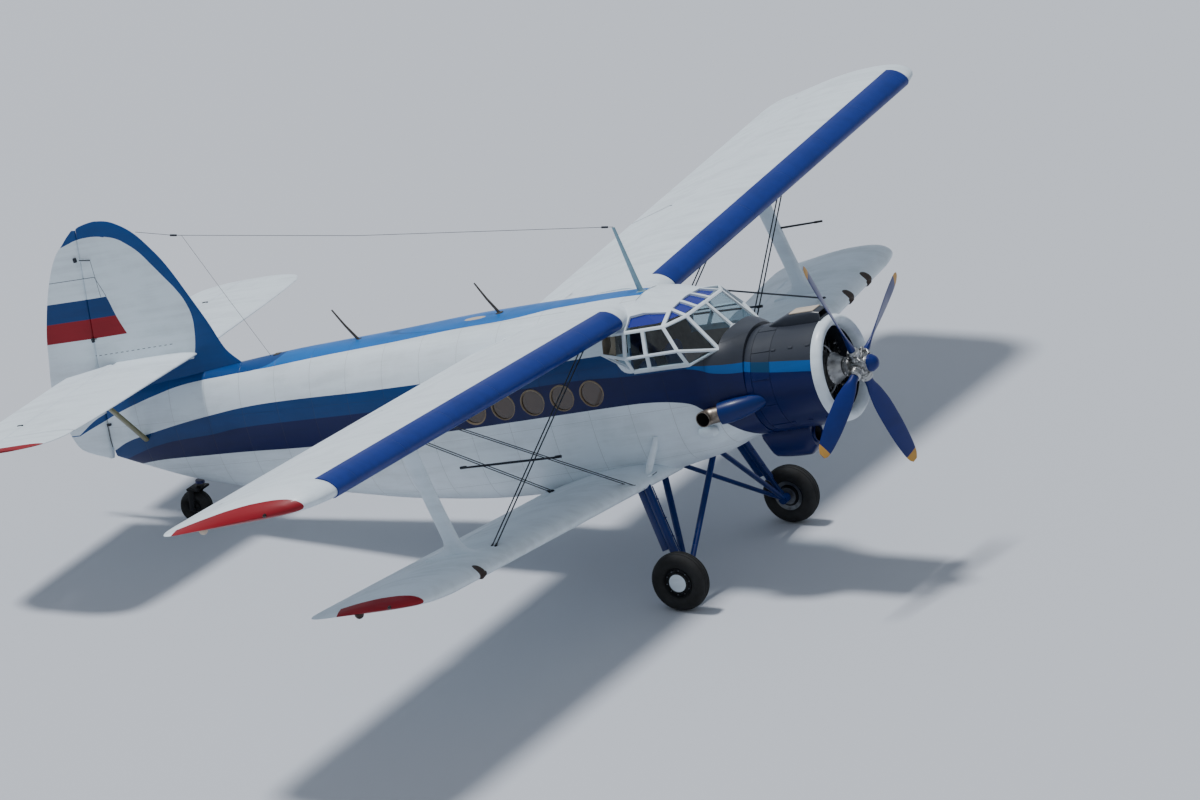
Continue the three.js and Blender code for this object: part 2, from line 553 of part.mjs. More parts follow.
/** The full wing before its moving surfaces are cut out, in the wing's own frame. */
function wingForm(wing, plan) {
  return loft(plan.map(([y, back, chord, share]) => {
    const at = (f, z) => V(-(back + f * chord), y, z * wing.chord * share);
    const upperSide = AIRFOIL.map(([f, up]) => at(f, up));
    return [at(0, 0.004), ...upperSide, ...AIRFOIL.toReversed().map(([f, , under]) => at(f, under))];
  }));
}
const hingeOf = (wing) => {
  const row = AIRFOIL.find(([f]) => f === wing.hinge);
  const [z, radius] = [(row[1] + row[2]) / 2, (row[1] - row[2]) / 2].map((share) => share * wing.chord);
  return { x: -wing.hinge * wing.chord, z, radius };
};
/** A moving surface, its round nose centred on its hinge line: stations are y, radius, trailing edge x, z. */
function movingSurface(stations, tip = 4) {
  return loft(stations.map(([y, radius, x, z]) => {
    const noseArc = Array.from({ length: 9 }, (_, i) => {
      const t = Math.PI / 2 - (Math.PI * i) / 8;
      return V(radius * Math.cos(t), y, radius * Math.sin(t));
    });
    return [...noseArc, V(x, y, z - tip), V(x, y, z + tip)];
  }));
}
/** A lug that carries a hinge: it reaches from the flat cove to the round nose. */
const hingeLug = (y, radius, at = V(0, 0, 0)) =>
  box(at.x + radius + GAP + 0.1, at.x + radius + RUN + 30, y - 12, y + 12, at.z - 12, at.z + 12);
/** The matrix that takes the port wing's own frame into the aircraft's frame. */
function wingMatrix(wing) {
  const turn = new THREE.Quaternion().setFromEuler(new THREE.Euler(wing.dihedral, -wing.incidence, 0));
  return new THREE.Matrix4().compose(V(wing.x, 0, wing.z), turn, V(1, 1, 1));
}
function wingPieces(wing, plan, spans) {
  const matrix = wingMatrix(wing);
  const hinge = hingeOf(wing);
  const inside = solid(geometryOf(outerGrown), matrix.clone().invert());
  const [from, to] = [spans[0][0] - RUN, spans.at(-1)[1] + RUN];
  const cove = box(-wing.chord - 200, hinge.x + hinge.radius + RUN, from, to, -600, 600);
  const strutHole = solid(geometryOf(shockStrutSpace), matrix.clone().invert());
  const lugs = spans.flatMap(([y0, y1]) => [0.12, 0.5, 0.88].map((t) => y0 + (y1 - y0) * t))
    .map((y) => hingeLug(y, hinge.radius, hinge));
  const fixed = join(cut(wingForm(wing, plan), inside, cove, strutHole), lugs);
  const surfaces = spans.map(([y0, y1]) => {
    const station = (y) => [y, hinge.radius, -(1 - wing.hinge) * wing.chord, -hinge.z];
    return movingSurface([station(y0), station(y1)]);
  });
  return { matrix, hinge, inside, fixed, surfaces };
}
const upper = wingPieces(UPPER, UPPER_PLAN, [UPPER.flap, UPPER.aileron]);
const lower = wingPieces(LOWER, LOWER_PLAN, [LOWER.flap]);
const upperD = solid(geometryOf(upper.fixed), upper.matrix);
const lowerD = solid(geometryOf(lower.fixed), lower.matrix);

// The canopy's rear side windows end under the upper wing's root.
const wingRoots = [upperD, moved(upperD, GAP, 0, -GAP)].flatMap((wing) => [wing, mirrored(wing)]);
add("canopy_frame", canopyRear(canopyFrame, wingRoots), "white");
add("canopy_glass", canopyRear(canopyGlass, wingRoots), "glass");

/** The slat's section: a thin skin wrapped round the leading edge. */
function slatSection() {
  const chord = UPPER.chord;
  const skin = [
    ...AIRFOIL.slice(0, 2).toReversed().map(([f, , under]) => [-f * chord * 0.8, under * chord]),
    [0, 0.004 * chord],
    ...AIRFOIL.slice(0, 3).map(([f, up]) => [-f * chord, up * chord]),
  ];
  const shifted = (d) => skin.map(([x, z], i) => {
    const a = skin[Math.max(i - 1, 0)], b = skin[Math.min(i + 1, skin.length - 1)];
    const length = Math.hypot(b[0] - a[0], b[1] - a[1]);
    const depth = typeof d === "number" ? d : d[i];
    return [x - ((b[1] - a[1]) / length) * -depth, z + ((b[0] - a[0]) / length) * -depth];
  });
  const thick = skin.map((_, i) => (i === 0 || i === skin.length - 1 ? 4 : SLAT.thick));
  return [...shifted(thick), ...shifted(GAP + 0.2).toReversed()];
}
const slat = cut(plate(slatSection(), SLAT.y0, SLAT.y1), upper.fixed);

const SIDES = [["right", -1], ["left", 1]];
for (const [side, sign] of SIDES) {
  for (const [level, wing, pieces] of [["upper", UPPER, upper], ["lower", LOWER, lower]]) {
    const group = new THREE.Group();
    group.name = `${level}_wing_frame_${side}`;
    const flip = new THREE.Group();
    flip.scale.y = sign;
    group.position.set(wing.x, 0, wing.z);
    group.rotation.set(wing.dihedral, -wing.incidence, 0);
    flip.add(group);
    aircraft.add(flip);
    add(`${level}_wing_${side}`, pieces.fixed, "white", group);
    const names = level === "upper" ? [`upper_flap_${side}`, `aileron_${side}`] : [`lower_flap_${side}`];
    pieces.surfaces.forEach((surface, i) => {
      const hinge = new THREE.Group();
      hinge.name = `${names[i]}_axis`;
      hinge.position.set(pieces.hinge.x, 0, pieces.hinge.z);
      group.add(hinge);
      add(names[i], surface, "white", hinge);
    });
    if (level === "upper") add(`slat_${side}`, cut(slat, upper.inside), "blue", group);
  }
}

// Struts and stays between the wings.
// Strut stations: x, height, chord, thickness.
const STRUT = [
  [-1265, 1430, 360, 96], [-1250, 1300, 330, 94], [-1228, 1130, 262, 86], [-1110, 476, 232, 80],
  [-1005, -60, 244, 84], [-985, -190, 330, 90], [-982, -265, 600, 96], [-985, -325, 960, 100],
  [-985, -430, 1010, 100],
];
const strut = cut(
  fairedBar(STRUT.map(([x, z, chord, thick]) => ({ at: V(x, STRUT_Y, z), chord, thick })), 14),
  moved(upperD, 0, 0, -GAP), moved(lowerD, 0, 0, GAP),
);
// Main stays on the port side: from, to, radius.
const STAYS = {
  flying_stay_front: [V(-345, 1400, -850), V(-700, 5040, 1440), 9],
  landing_stay: [V(-560, 5040, -380), V(-690, 1010, 1230), 9],
};
const trim = (body) => cut(body, moved(upperD, 0, 0, -GAP), moved(lowerD, 0, 0, GAP), outerGrown);
const stayBodies = Object.entries(STAYS).map(([name, [from, to, radius]]) => [
  name, largest(cut(trim(bar(from, to, radius, radius, 8)), strut)),
]);

// Main gear.
const shockStrut = cut(shockStrutForm(0), outerGrown);
const veeTube = (x, y, z, endX) => fairedBar([
  { at: V(x, y, z), chord: 80, thick: 46 }, { at: V(endX, 1440, MAIN_WHEEL.z + 10), chord: 74, thick: 50 },
]);
const vee = cut(
  join(
    veeTube(60, 60, -880, 10), veeTube(-700, 170, -1000, -14),
    bar(V(0, 1405, MAIN_WHEEL.z), V(0, 1700, MAIN_WHEEL.z), 35, 35, 16),
    bar(V(0, 1405, MAIN_WHEEL.z), V(0, 1525, MAIN_WHEEL.z), 62, 62, 16),
  ),
  outerGrown,
);
/** A wheel's shapes about its own axle along y: profile points are [y, radius]. */
function wheelTurned(profile, sides) {
  return solid(new THREE.LatheGeometry(profile.map(([y, r]) => new THREE.Vector2(r, y)), sides)
    .rotateY(Math.PI / sides));
}
function tyre({ radius, width }, rim, sides) {
  const edge = radius / Math.cos(Math.PI / sides), inner = (rim + GAP) / Math.cos(Math.PI / sides);
  const half = [
    [0.62, inner], [0.86, rim + 24], [1, (rim + radius) / 2], [0.93, radius * 0.87], [0.7, radius * 0.965],
    [0.3, edge],
  ].map(([share, r]) => [(share * width) / 2, r]);
  return wheelTurned([...half, ...half.toReversed().map(([y, r]) => [-y, r]), half[0]], sides);
}
const RIM = 205, TAIL_RIM = 112;
const mainHub = wheelTurned([
  [98, 0], [98, 100], [84, 112], [84, RIM], [-84, RIM], [-84, 130], [-116, 118], [-116, 36], [40, 36],
  [40, 0],
], 20);

const axleSpace = bar(V(0, 1400, MAIN_WHEEL.z), V(0, 1700, MAIN_WHEEL.z), 63, 63, 16);

for (const [side, sign] of SIDES) {
  const half = new THREE.Group();
  half.scale.y = sign;
  aircraft.add(half);
  add(`interplane_strut_${side}`, strut, "white", half);
  for (const [name, body] of stayBodies) add(`${name}_${side}`, body, "dark", half);
  add(`shock_strut_${side}`, cut(shockStrut, axleSpace, moved(vee, 0, 0, GAP)), "blue", half);
  add(`gear_vee_${side}`, vee, "blue", half);
  const axle = new THREE.Group();
  axle.name = `main_wheel_${side}_axis`;
  axle.position.set(MAIN_WHEEL.x, MAIN_WHEEL.y, MAIN_WHEEL.z);
  axle.rotation.y = PARKED_PITCH;
  half.add(axle);
  add(`main_hub_${side}`, mainHub, "white", axle);
  add(`main_tyre_${side}`, tyre(MAIN_WHEEL, RIM, 28), "rubber", axle);
}

// Tail.
/** The radius of the rudder's nose at one height. */
function rudderRadius(z) {
  const i = RUDDER.findIndex(([height]) => height > z);
  if (i < 0) return RUDDER.at(-1)[2];
  if (i === 0) return RUDDER[0][2];
  const [[z0, , r0], [z1, , r1]] = [RUDDER[i - 1], RUDDER[i]];
  return r0 + ((r1 - r0) * (z - z0)) / (z1 - z0);
}
const rudderLug = (z) => {
  const x = hingeX(z) + rudderRadius(z);
  return box(x + GAP + 0.9, x + RUN + 40, -10, 10, z - 5, z + 5);
};
/** A flat section of the fin at one height: nose, three widths, then the flat rear face at the hinge cove. */
function finSection([z, lead, half, end], grow = 0) {
  const rear = (end ?? hingeX(z) + rudderRadius(z) + RUN) - grow;
  const nose = lead + grow, length = nose - rear, thick = half + grow;
  const side = [[0, 0.12], [0.06, 0.62], [0.2, 1.0], [0.42, 1.22], [0.72, 1.14], [1, 1]];
  const port = side.map(([f, w]) => V(nose - f * length, w * thick, z));
  return [...port, ...port.toReversed().map((p) => V(p.x, -p.y, p.z))];
}
const finBody = (grow) => loft(FIN.map((row) => finSection(row, grow)));

const hingeTilt = Math.atan2(hx1 - hx0, hz1 - hz0);
const rudderAxis = new THREE.Group();
rudderAxis.name = "rudder_axis";
rudderAxis.position.set(hx0, 0, hz0);
rudderAxis.rotation.y = hingeTilt;
aircraft.add(rudderAxis);
/** A point in the rudder's own frame, whose z axis is the hinge line. */
const toRudder = (x, z) => {
  const dx = x - hx0, dz = z - hz0, c = Math.cos(hingeTilt), s = Math.sin(hingeTilt);
  return [dx * c - dz * s, dx * s + dz * c];
};
const rudder = loft(RUDDER.map(([z, trail, half]) => {
  const up = (z - hz0) / Math.cos(hingeTilt);
  const length = toRudder(trail, z)[0];
  const arc = Array.from({ length: 9 }, (_, i) => {
    const t = Math.PI / 2 - (Math.PI * i) / 8;
    return V(half * Math.cos(t), half * Math.sin(t), up);
  });
  return [...arc, V(length, -4, up), V(length, 4, up)];
}));
add("rudder", rudder, "white", rudderAxis);

// The tailplane is one piece from tip to tip and passes through the fin.
const tailSection = ([y, lead, , half], grow = 0) => {
  const rear = TAILPLANE.hinge + half + RUN - grow, front = lead + grow, length = front - rear;
  const side = [[0, 0.14], [0.07, 0.72], [0.25, 1.15], [0.55, 1.3], [0.8, 1.18], [1, 1]];
  const top = side.map(([f, w]) => V(front - f * length, y, TAILPLANE.z + w * (half + grow)));
  return [...top, ...top.toReversed().map((p) => V(p.x, p.y, 2 * TAILPLANE.z - p.z))];
};
const spanwise = [...TAIL_PLAN.toReversed().map(([y, ...rest]) => [-y, ...rest]), ...TAIL_PLAN];
const tailplaneBody = (grow) => loft(spanwise.map((row) => tailSection(row, grow)));
const elevatorRadius = (y) => {
  const i = TAIL_PLAN.findIndex(([at]) => at > y);
  const [[y0, , , r0], [y1, , , r1]] = [TAIL_PLAN[i - 1], TAIL_PLAN[i]];
  return r0 + ((r1 - r0) * (y - y0)) / (y1 - y0);
};
const elevatorLugs = [-2900, -1700, -500, 500, 1700, 2900].map((y) =>
  hingeLug(y, elevatorRadius(Math.abs(y)), V(TAILPLANE.hinge, 0, TAILPLANE.z)));
const tailplane = join(tailplaneBody(0), elevatorLugs);
add("tailplane", tailplane, "white");
add("fin", join(cut(finBody(0), outerGrown, tailplaneBody(GAP)), rudderLug(2360), rudderLug(3150)), "white");
const elevatorPlan = TAIL_PLAN
  .map(([y, , trail, half]) => [Math.max(y, 125), half, trail - TAILPLANE.hinge, 0]);
// The elevators' inner ends are cut away behind, so that the rudder can swing between them.
const swing = [[-75, 100], [-1000, 100], [-1000, 330], [-75, 140]].map((p) => new THREE.Vector2(...p));
const swingSpace = new THREE.ExtrudeGeometry(new THREE.Shape(swing), { depth: 600, bevelEnabled: false });
const elevator = cut(movingSurface(elevatorPlan, 4), solid(swingSpace.translate(0, 0, -300)));
const tailStrut = largest(cut(
  fairedBar([V(-8530, 120, 470), V(-8240, 1450, 1570)].map((at) => ({ at, chord: 100, thick: 44 }))),
  outerGrown, moved(tailplane, 0, 0, -2 * GAP), moved(tailplane, 0, 0, 30),
));
for (const [side, sign] of SIDES) {
  const half = new THREE.Group();
  half.scale.y = sign;
  aircraft.add(half);
  add(`tailplane_strut_${side}`, tailStrut, "white", half);
  const hinge = new THREE.Group();
  hinge.name = `elevator_${side}_axis`;
  hinge.position.set(TAILPLANE.hinge, 0, TAILPLANE.z);
  half.add(hinge);
  add(`elevator_${side}`, elevator, "white", hinge);
}

// Tail gear.
// The fork turns about a line that stands upright when the aircraft is parked.
const tailAxle = new THREE.Group();
tailAxle.name = "tail_fork_axis";
tailAxle.position.set(TAIL_WHEEL.x, 0, TAIL_WHEEL.z);
tailAxle.rotation.y = PARKED_PITCH;
aircraft.add(tailAxle);
const crown0 = TAIL_WHEEL.radius + 22;
const fork = join(
  box(-60, TAIL_WHEEL.trail + 60, -150, 150, crown0, crown0 + 34),
  ...[-1, 1].map((s) => box(-42, 42, s * 132 - 12, s * 132 + 12, -36, crown0 + 1)),
  bar(V(0, -144, 0), V(0, 144, 0), 20, 20, 12),
  bar(V(TAIL_WHEEL.trail, 0, crown0 + 30), V(TAIL_WHEEL.trail, 0, crown0 + 60), 58, 58, 16),
);
add("tail_fork", fork, "navy", tailAxle);
const tailHub = wheelTurned([
  [66, 21], [66, TAIL_RIM - 40], [58, TAIL_RIM], [-58, TAIL_RIM], [-66, TAIL_RIM - 40], [-66, 21], [66, 21],
], 20);
add("tail_wheel", join(tailHub, tyre(TAIL_WHEEL, TAIL_RIM - 5, 20)), "rubber", tailAxle);
const legMatrix = new THREE.Matrix4().makeTranslation(TAIL_WHEEL.x, 0, TAIL_WHEEL.z)
  .multiply(new THREE.Matrix4().makeRotationY(PARKED_PITCH));
const legBrace = [V(TAIL_WHEEL.trail + 20, 0, crown0 + 100), V(TAIL_WHEEL.trail + 420, 0, crown0 + 330)];
const legTop = V(TAIL_WHEEL.trail, 0, crown0 + 60 + GAP);
const leg = largest(cut(
  join(
    solid(geometryOf(bar(legTop, V(TAIL_WHEEL.trail, 0, crown0 + 420), 56, 50, 16)), legMatrix),
    solid(geometryOf(bar(legBrace[0], legBrace[1], 30, 30, 10)), legMatrix),
  ),
  outerGrown,
));
add("tail_leg", leg, "navy");

// Antenna mast.
const mast = cut(
  fairedBar([{ at: V(-340, 0, 1330), chord: 90, thick: 40 }, { at: V(-480, 0, 2364), chord: 46, thick: 22 }]),
  outerGrown,
);
add("antenna_mast", largest(mast), "white");

// Parked attitude.
const parked = new THREE.Group();
aircraft.rotation.y = -PARKED_PITCH;
parked.add(aircraft);
parked.updateMatrixWorld(true);
const bounds = new THREE.Box3().setFromObject(parked, true);
const middle = bounds.getCenter(V(0, 0, 0));
aircraft.position.set(-middle.x, -middle.y, -bounds.min.z);

export default parked;
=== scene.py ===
"""The looks of a large single-engine utility biplane, parked on its wheels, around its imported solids.

Everything is drawn in the aircraft's level frame, in millimetres: x runs forward from the main axle, y to
port and z up from the propeller shaft's line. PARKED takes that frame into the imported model's, in metres.
"""
import functools
import logging
import math
from dataclasses import dataclass
from enum import Enum
from typing import Iterable, Optional, Sequence, Union

import bmesh
import bpy
import numpy as np
from mathutils import Matrix, Vector


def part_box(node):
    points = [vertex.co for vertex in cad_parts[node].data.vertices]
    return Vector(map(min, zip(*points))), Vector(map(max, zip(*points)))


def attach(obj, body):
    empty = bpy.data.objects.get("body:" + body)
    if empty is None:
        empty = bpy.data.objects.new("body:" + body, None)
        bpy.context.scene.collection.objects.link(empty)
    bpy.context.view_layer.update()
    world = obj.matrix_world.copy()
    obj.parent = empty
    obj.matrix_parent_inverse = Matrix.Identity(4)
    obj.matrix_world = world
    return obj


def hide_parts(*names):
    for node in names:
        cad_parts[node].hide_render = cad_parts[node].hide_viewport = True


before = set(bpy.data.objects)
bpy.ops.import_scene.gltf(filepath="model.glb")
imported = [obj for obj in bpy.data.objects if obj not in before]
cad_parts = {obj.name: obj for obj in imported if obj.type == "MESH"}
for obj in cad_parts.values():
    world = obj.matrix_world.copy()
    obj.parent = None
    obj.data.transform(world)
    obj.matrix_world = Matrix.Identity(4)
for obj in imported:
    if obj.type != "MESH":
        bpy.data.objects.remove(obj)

LOG = logging.getLogger("biplane")
MM = 0.001  # metres in a millimetre
PARKED_PITCH = math.asin(0.20194)  # nose up, on three wheels
AXLE = (0.0, 1680.0, -2087.0)  # the left main wheel's centre
SMOOTH_UNDER = 32.0  # degrees between faces that still shade as one surface
SAME_POINT = 2e-5  # metres within which two points of a mesh are one
Colour = tuple[float, float, float, float]
Point = Sequence[float]
Table = Sequence[Point]
Mesh = bpy.types.Mesh
Tree = bpy.types.NodeTree
Socket = bpy.types.NodeSocket
Value = Union[Socket, float]


def parked() -> Matrix:
    """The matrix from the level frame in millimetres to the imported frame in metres.

    Returns:
        The matrix, set by the main wheel's centre as packed.
    """
    low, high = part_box("main_tyre_right")
    centre = (low + high) / 2
    turn = Matrix.Rotation(-PARKED_PITCH, 4, "Y")
    shift = Vector((centre.x, 0, centre.z)) - turn @ Vector((AXLE[0], 0, AXLE[2])) * MM
    return Matrix.Translation(shift) @ turn @ Matrix.Scale(MM, 4)


PARKED = parked()


class Side(Enum):
    """The two sides of the aircraft, by the sign of y."""

    RIGHT = -1
    LEFT = 1

    @property
    def word(self) -> str:
        """The side's name as the solids' names end."""
        return self.name.lower()


def eased(table: Table, at: Iterable[float]) -> np.ndarray:
    """Smooth curves through a table's columns that never overshoot its points.

    Args:
        table: Rows that start with the place and go on with the values there.
        at: The places to read.

    Returns:
        One row of values for each place.
    """
    rows = np.array(sorted([list(row) for row in table]), float)
    x, y = rows[:, 0], rows[:, 1:]
    step = np.diff(x)[:, None]
    slope = np.diff(y, axis=0) / step
    tangent = np.zeros_like(y)
    tangent[0], tangent[-1] = slope[0], slope[-1]
    w0, w1 = 2 * step[1:] + step[:-1], step[1:] + 2 * step[:-1]
    with np.errstate(divide="ignore", invalid="ignore"):
        inner = (w0 + w1) / (w0 / slope[:-1] + w1 / slope[1:])
    tangent[1:-1] = np.where(slope[:-1] * slope[1:] > 0, inner, 0)
    at = np.clip(np.asarray(list(at), float), x[0], x[-1])
    i = np.clip(np.searchsorted(x, at, "right") - 1, 0, len(x) - 2)
    h = step[i]
    t = (at - x[i])[:, None] / h
    start = (1 + 2 * t) * (1 - t) ** 2 * y[i] + t * (1 - t) ** 2 * h * tangent[i]
    return start + t * t * (3 - 2 * t) * y[i + 1] + t * t * (t - 1) * h * tangent[i + 1]


def placed(place: Point, degrees: float = 0.0, axis: str = "Y") -> Matrix:
    """The matrix that turns a shape about an axis and then moves it to its place."""
    return Matrix.Translation(place) @ Matrix.Rotation(math.radians(degrees), 4, axis)


def circle(count: int, phase: float = 0.0) -> tuple[np.ndarray, np.ndarray]:
    """Cosines and sines of evenly spaced angles."""
    t = 2 * np.pi * (np.arange(count) + phase) / count
    return np.cos(t), np.sin(t)


class Draft:
    """Points and faces gathered for one piece, in the level frame."""

    def __init__(self) -> None:
        """Starts with nothing."""
        self.points: list[np.ndarray] = []
        self.faces: list[tuple[int, ...]] = []
        self.marks: list[int] = []
        self.count = 0

    def add(self, points: Table, faces: list[tuple], mark: int = 0, turn: Optional[Matrix] = None) -> "Draft":
        """Adds a shape.

        Args:
            points: Its points.
            faces: Its faces, counted from its own first point.
            mark: Which of the piece's finishes it takes.
            turn: Where to put it.

        Returns:
            The draft itself.
        """
        points = np.asarray(points, float).reshape(-1, 3)
        if turn is not None:
            full = np.array(turn, float)
            points = points @ full[:3, :3].T + full[:3, 3]
        self.points.append(points)
        self.faces += [tuple(self.count + i for i in face) for face in faces]
        self.marks += [mark] * len(faces)
        self.count += len(points)
        return self

    def loft(self, rings: Sequence[Table], mark: int = 0, turn: Optional[Matrix] = None, closed: bool = True,
             capped: bool = True, around: bool = False) -> "Draft":
        """Adds the skin through rings of as many points each.

        Args:
            rings: The rings' points, ring by ring.
            mark: Which finish it takes.
            turn: Where to put it.
            closed: Whether each ring closes on itself.
            capped: Whether the first and last ring are filled.
            around: Whether the last ring joins the first.

        Returns:
            The draft itself.
        """
        rings = np.asarray(rings, float)
        n, m = rings.shape[:2]
        last, wide = (n if around else n - 1), (m if closed else m - 1)
        faces = [(i * m + j, i * m + (j + 1) % m, (i + 1) % n * m + (j + 1) % m, (i + 1) % n * m + j)
                 for i in range(last) for j in range(wide)]
        if capped and not around:
            faces += [tuple(range(m - 1, -1, -1)), tuple((n - 1) * m + j for j in range(m))]
        return self.add(rings, faces, mark, turn)

    def turned(self, profile: Table, sides: int = 48, mark: int = 0, turn: Optional[Matrix] = None,
               loop: bool = False) -> "Draft":
        """Adds a shape turned about the x axis: profile points are (x, radius), a loop where it is a ring."""
        rings = [[(x, r * a, r * b) for x, r in profile] for a, b in zip(*circle(sides))]
        return self.loft(rings, mark, turn, closed=loop, capped=False, around=True)

    def bar(self, a: Point, b: Point, ra: float, rb: Optional[float] = None, sides: int = 16,
            mark: int = 0) -> "Draft":
        """Adds a round bar or cone between two points."""
        return self.tube([a, b], [ra, ra if rb is None else rb], sides, mark)

    def tube(self, path: Table, radius: Union[float, Point], sides: int = 10, mark: int = 0,
             flat: float = 1.0, along: Point = (1, 0, 0)) -> "Draft":
        """Adds a tube along a path.

        Args:
            path: The points of its middle line.
            radius: Its radius, one number or one for each point.
            sides: How many sides it has.
            mark: Which finish it takes.
            flat: Its thickness across the flow as a share of that along it.
            along: The direction of the flow.

        Returns:
            The draft itself.
        """
        path = np.asarray(path, float)
        radius = np.broadcast_to(np.asarray(radius, float), len(path))
        tangent = np.gradient(path, axis=0)
        tangent /= np.linalg.norm(tangent, axis=1)[:, None]
        flow = np.asarray(along, float)
        if abs(tangent[0] @ flow) > 0.95:
            flow = np.array([0.0, 1.0, 0.0])
        c, s = circle(sides)
        rings = []
        for p, t, r in zip(path, tangent, radius):
            u = flow - (flow @ t) * t
            u /= np.linalg.norm(u)
            v = np.cross(t, u)
            rings.append(p + r * (c[:, None] * u + flat * s[:, None] * v))
        return self.loft(rings, mark)

    def block(self, low: Point, high: Point, edge: float = 6.0, mark: int = 0) -> "Draft":
        """Adds a block with rounded edges.

        Args:
            low: Its lowest corner.
            high: Its highest corner.
            edge: Its edges' radius.
            mark: Which finish it takes.

        Returns:
            The draft itself.
        """
        (x0, y0, z0), (x1, y1, z1) = low, high
        rings = []
        for x, draw in ((x0, edge), (x0 + edge, 0), (x1 - edge, 0), (x1, edge)):
            hy, hz = (y1 - y0) / 2 - draw, (z1 - z0) / 2 - draw
            ring = []
            for k in range(4):
                for a in (0, 45, 90):
                    t = math.radians(90 * k + a)
                    sy, sz = (1, -1, -1, 1)[k], (1, 1, -1, -1)[k]
                    ring.append((x, (y0 + y1) / 2 + sy * (hy - edge) + edge * math.cos(t),
                                 (z0 + z1) / 2 + sz * (hz - edge) + edge * math.sin(t)))
            rings.append(ring)
        return self.loft(rings, mark)

    def sided(self, side: Side) -> "Draft":
        """The same shape on a side.

        Args:
            side: The side that it is for.

        Returns:
            The draft itself, which is drawn for the left, or its mirror image.
        """
        if side is Side.LEFT:
            return self
        other = Draft()
        other.points = [points * (1, -1, 1) for points in self.points]
        other.faces = [face[::-1] for face in self.faces]
        other.marks, other.count = list(self.marks), self.count
        return other

    def joined(self, other: "Draft", turn: Optional[Matrix] = None) -> "Draft":
        """Takes in another draft.

        Args:
            other: The draft, with its marks.
            turn: Where to put it.

        Returns:
            The draft itself.
        """
        before = len(self.marks)
        self.add(np.concatenate(other.points), other.faces, 0, turn)
        self.marks[before:] = other.marks
        return self

    def mesh(self, name: str) -> Mesh:
        """The draft as a clean mesh whose faces look outward, as parked.

        Args:
            name: The mesh's name.

        Returns:
            The mesh, in metres.
        """
        mesh = bpy.data.meshes.new(name)
        mesh.from_pydata([tuple(p) for p in np.concatenate(self.points)], [], self.faces)
        mesh.transform(PARKED)
        mesh.polygons.foreach_set("material_index", self.marks)
        work = bmesh.new()
        work.from_mesh(mesh)
        bmesh.ops.remove_doubles(work, verts=work.verts, dist=SAME_POINT)
        bmesh.ops.recalc_face_normals(work, faces=work.faces)
        work.to_mesh(mesh)
        work.free()
        return mesh


def piece(name: str, draft: Union[Draft, Mesh], finishes: Sequence["Finish"],
          body: str = "airframe", stands_for: Sequence[str] = ()) -> bpy.types.Object:
    """Makes one piece of the object.

    Args:
        name: Its name.
        draft: Its shape, or a finished mesh.
        finishes: Its finishes, in the order of the draft's marks.
        body: The body that it rides on.
        stands_for: The solids that it replaces.

    Returns:
        The object.
    """
    mesh = draft.mesh(name) if isinstance(draft, Draft) else draft
    for finish in finishes:
        mesh.materials.append(material_of(finish))
    mesh.shade_smooth()
    mesh.set_sharp_from_angle(angle=math.radians(SMOOTH_UNDER))
    made = bpy.data.objects.new(name, mesh)
    bpy.context.scene.collection.objects.link(made)
    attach(made, body)
    if stands_for:
        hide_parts(*stands_for)
    LOG.info("%s: %d faces on %s", name, len(mesh.polygons), body)
    return made


def cut_mesh(mesh: Mesh, cutters: Sequence[Union[Draft, Mesh]], keep: str = "DIFFERENCE") -> Mesh:
    """Cuts shapes out of a mesh; a cut face takes the cutter's mark.

    Args:
        mesh: The mesh to cut, as parked.
        cutters: The drafts or meshes to cut with.
        keep: DIFFERENCE, or INTERSECT to keep what is common.

    Returns:
        The cut mesh.
    """
    body = bpy.data.objects.new("work", mesh)
    bpy.context.scene.collection.objects.link(body)
    tools = []
    for cutter in cutters:
        tool = bpy.data.objects.new("tool", cutter.mesh("tool") if isinstance(cutter, Draft) else cutter)
        bpy.context.scene.collection.objects.link(tool)
        tools.append(tool)
        step = body.modifiers.new("cut", "BOOLEAN")
        step.operation, step.solver, step.object = keep, "EXACT", tool
        step.material_mode = "INDEX"
    bpy.context.view_layer.update()
    result = bpy.data.meshes.new_from_object(body.evaluated_get(bpy.context.evaluated_depsgraph_get()))
    for used in (body, *tools):
        bpy.data.objects.remove(used)
    return result


def add(tree: Tree, kind: str, *values: object, named: Optional[dict] = None,
        **settings: object) -> Optional[Socket]:
    """Adds a node, sets it up and fills its sockets.

    Args:
        tree: Its node tree.
        kind: The node's type, without its prefix.
        values: What its live inputs take, in order: a number, a colour, a vector or another node's output.
        named: The same for inputs by name.
        settings: The node's own settings.

    Returns:
        The node's first live output.
    """
    made = tree.nodes.new("ShaderNode" + kind)
    for name, value in settings.items():
        setattr(made, name, value)
    live = [socket for socket in made.inputs if socket.enabled]
    pairs = list(zip(live, values))
    pairs += [(next(s for s in live if s.name == name), value) for name, value in (named or {}).items()]
    for socket, value in pairs:
        if isinstance(value, bpy.types.NodeSocket):
            tree.links.new(value, socket)
        elif value is not None:
            socket.default_value = value
    return next((socket for socket in made.outputs if socket.enabled), None)


def linear(code: str) -> Colour:
    """An sRGB hex colour as the linear numbers that a shader takes."""
    parts = [int(code[i:i + 2], 16) / 255 for i in (1, 3, 5)]
    return (*[p / 12.92 if p <= 0.04045 else ((p + 0.055) / 1.055) ** 2.4 for p in parts], 1.0)


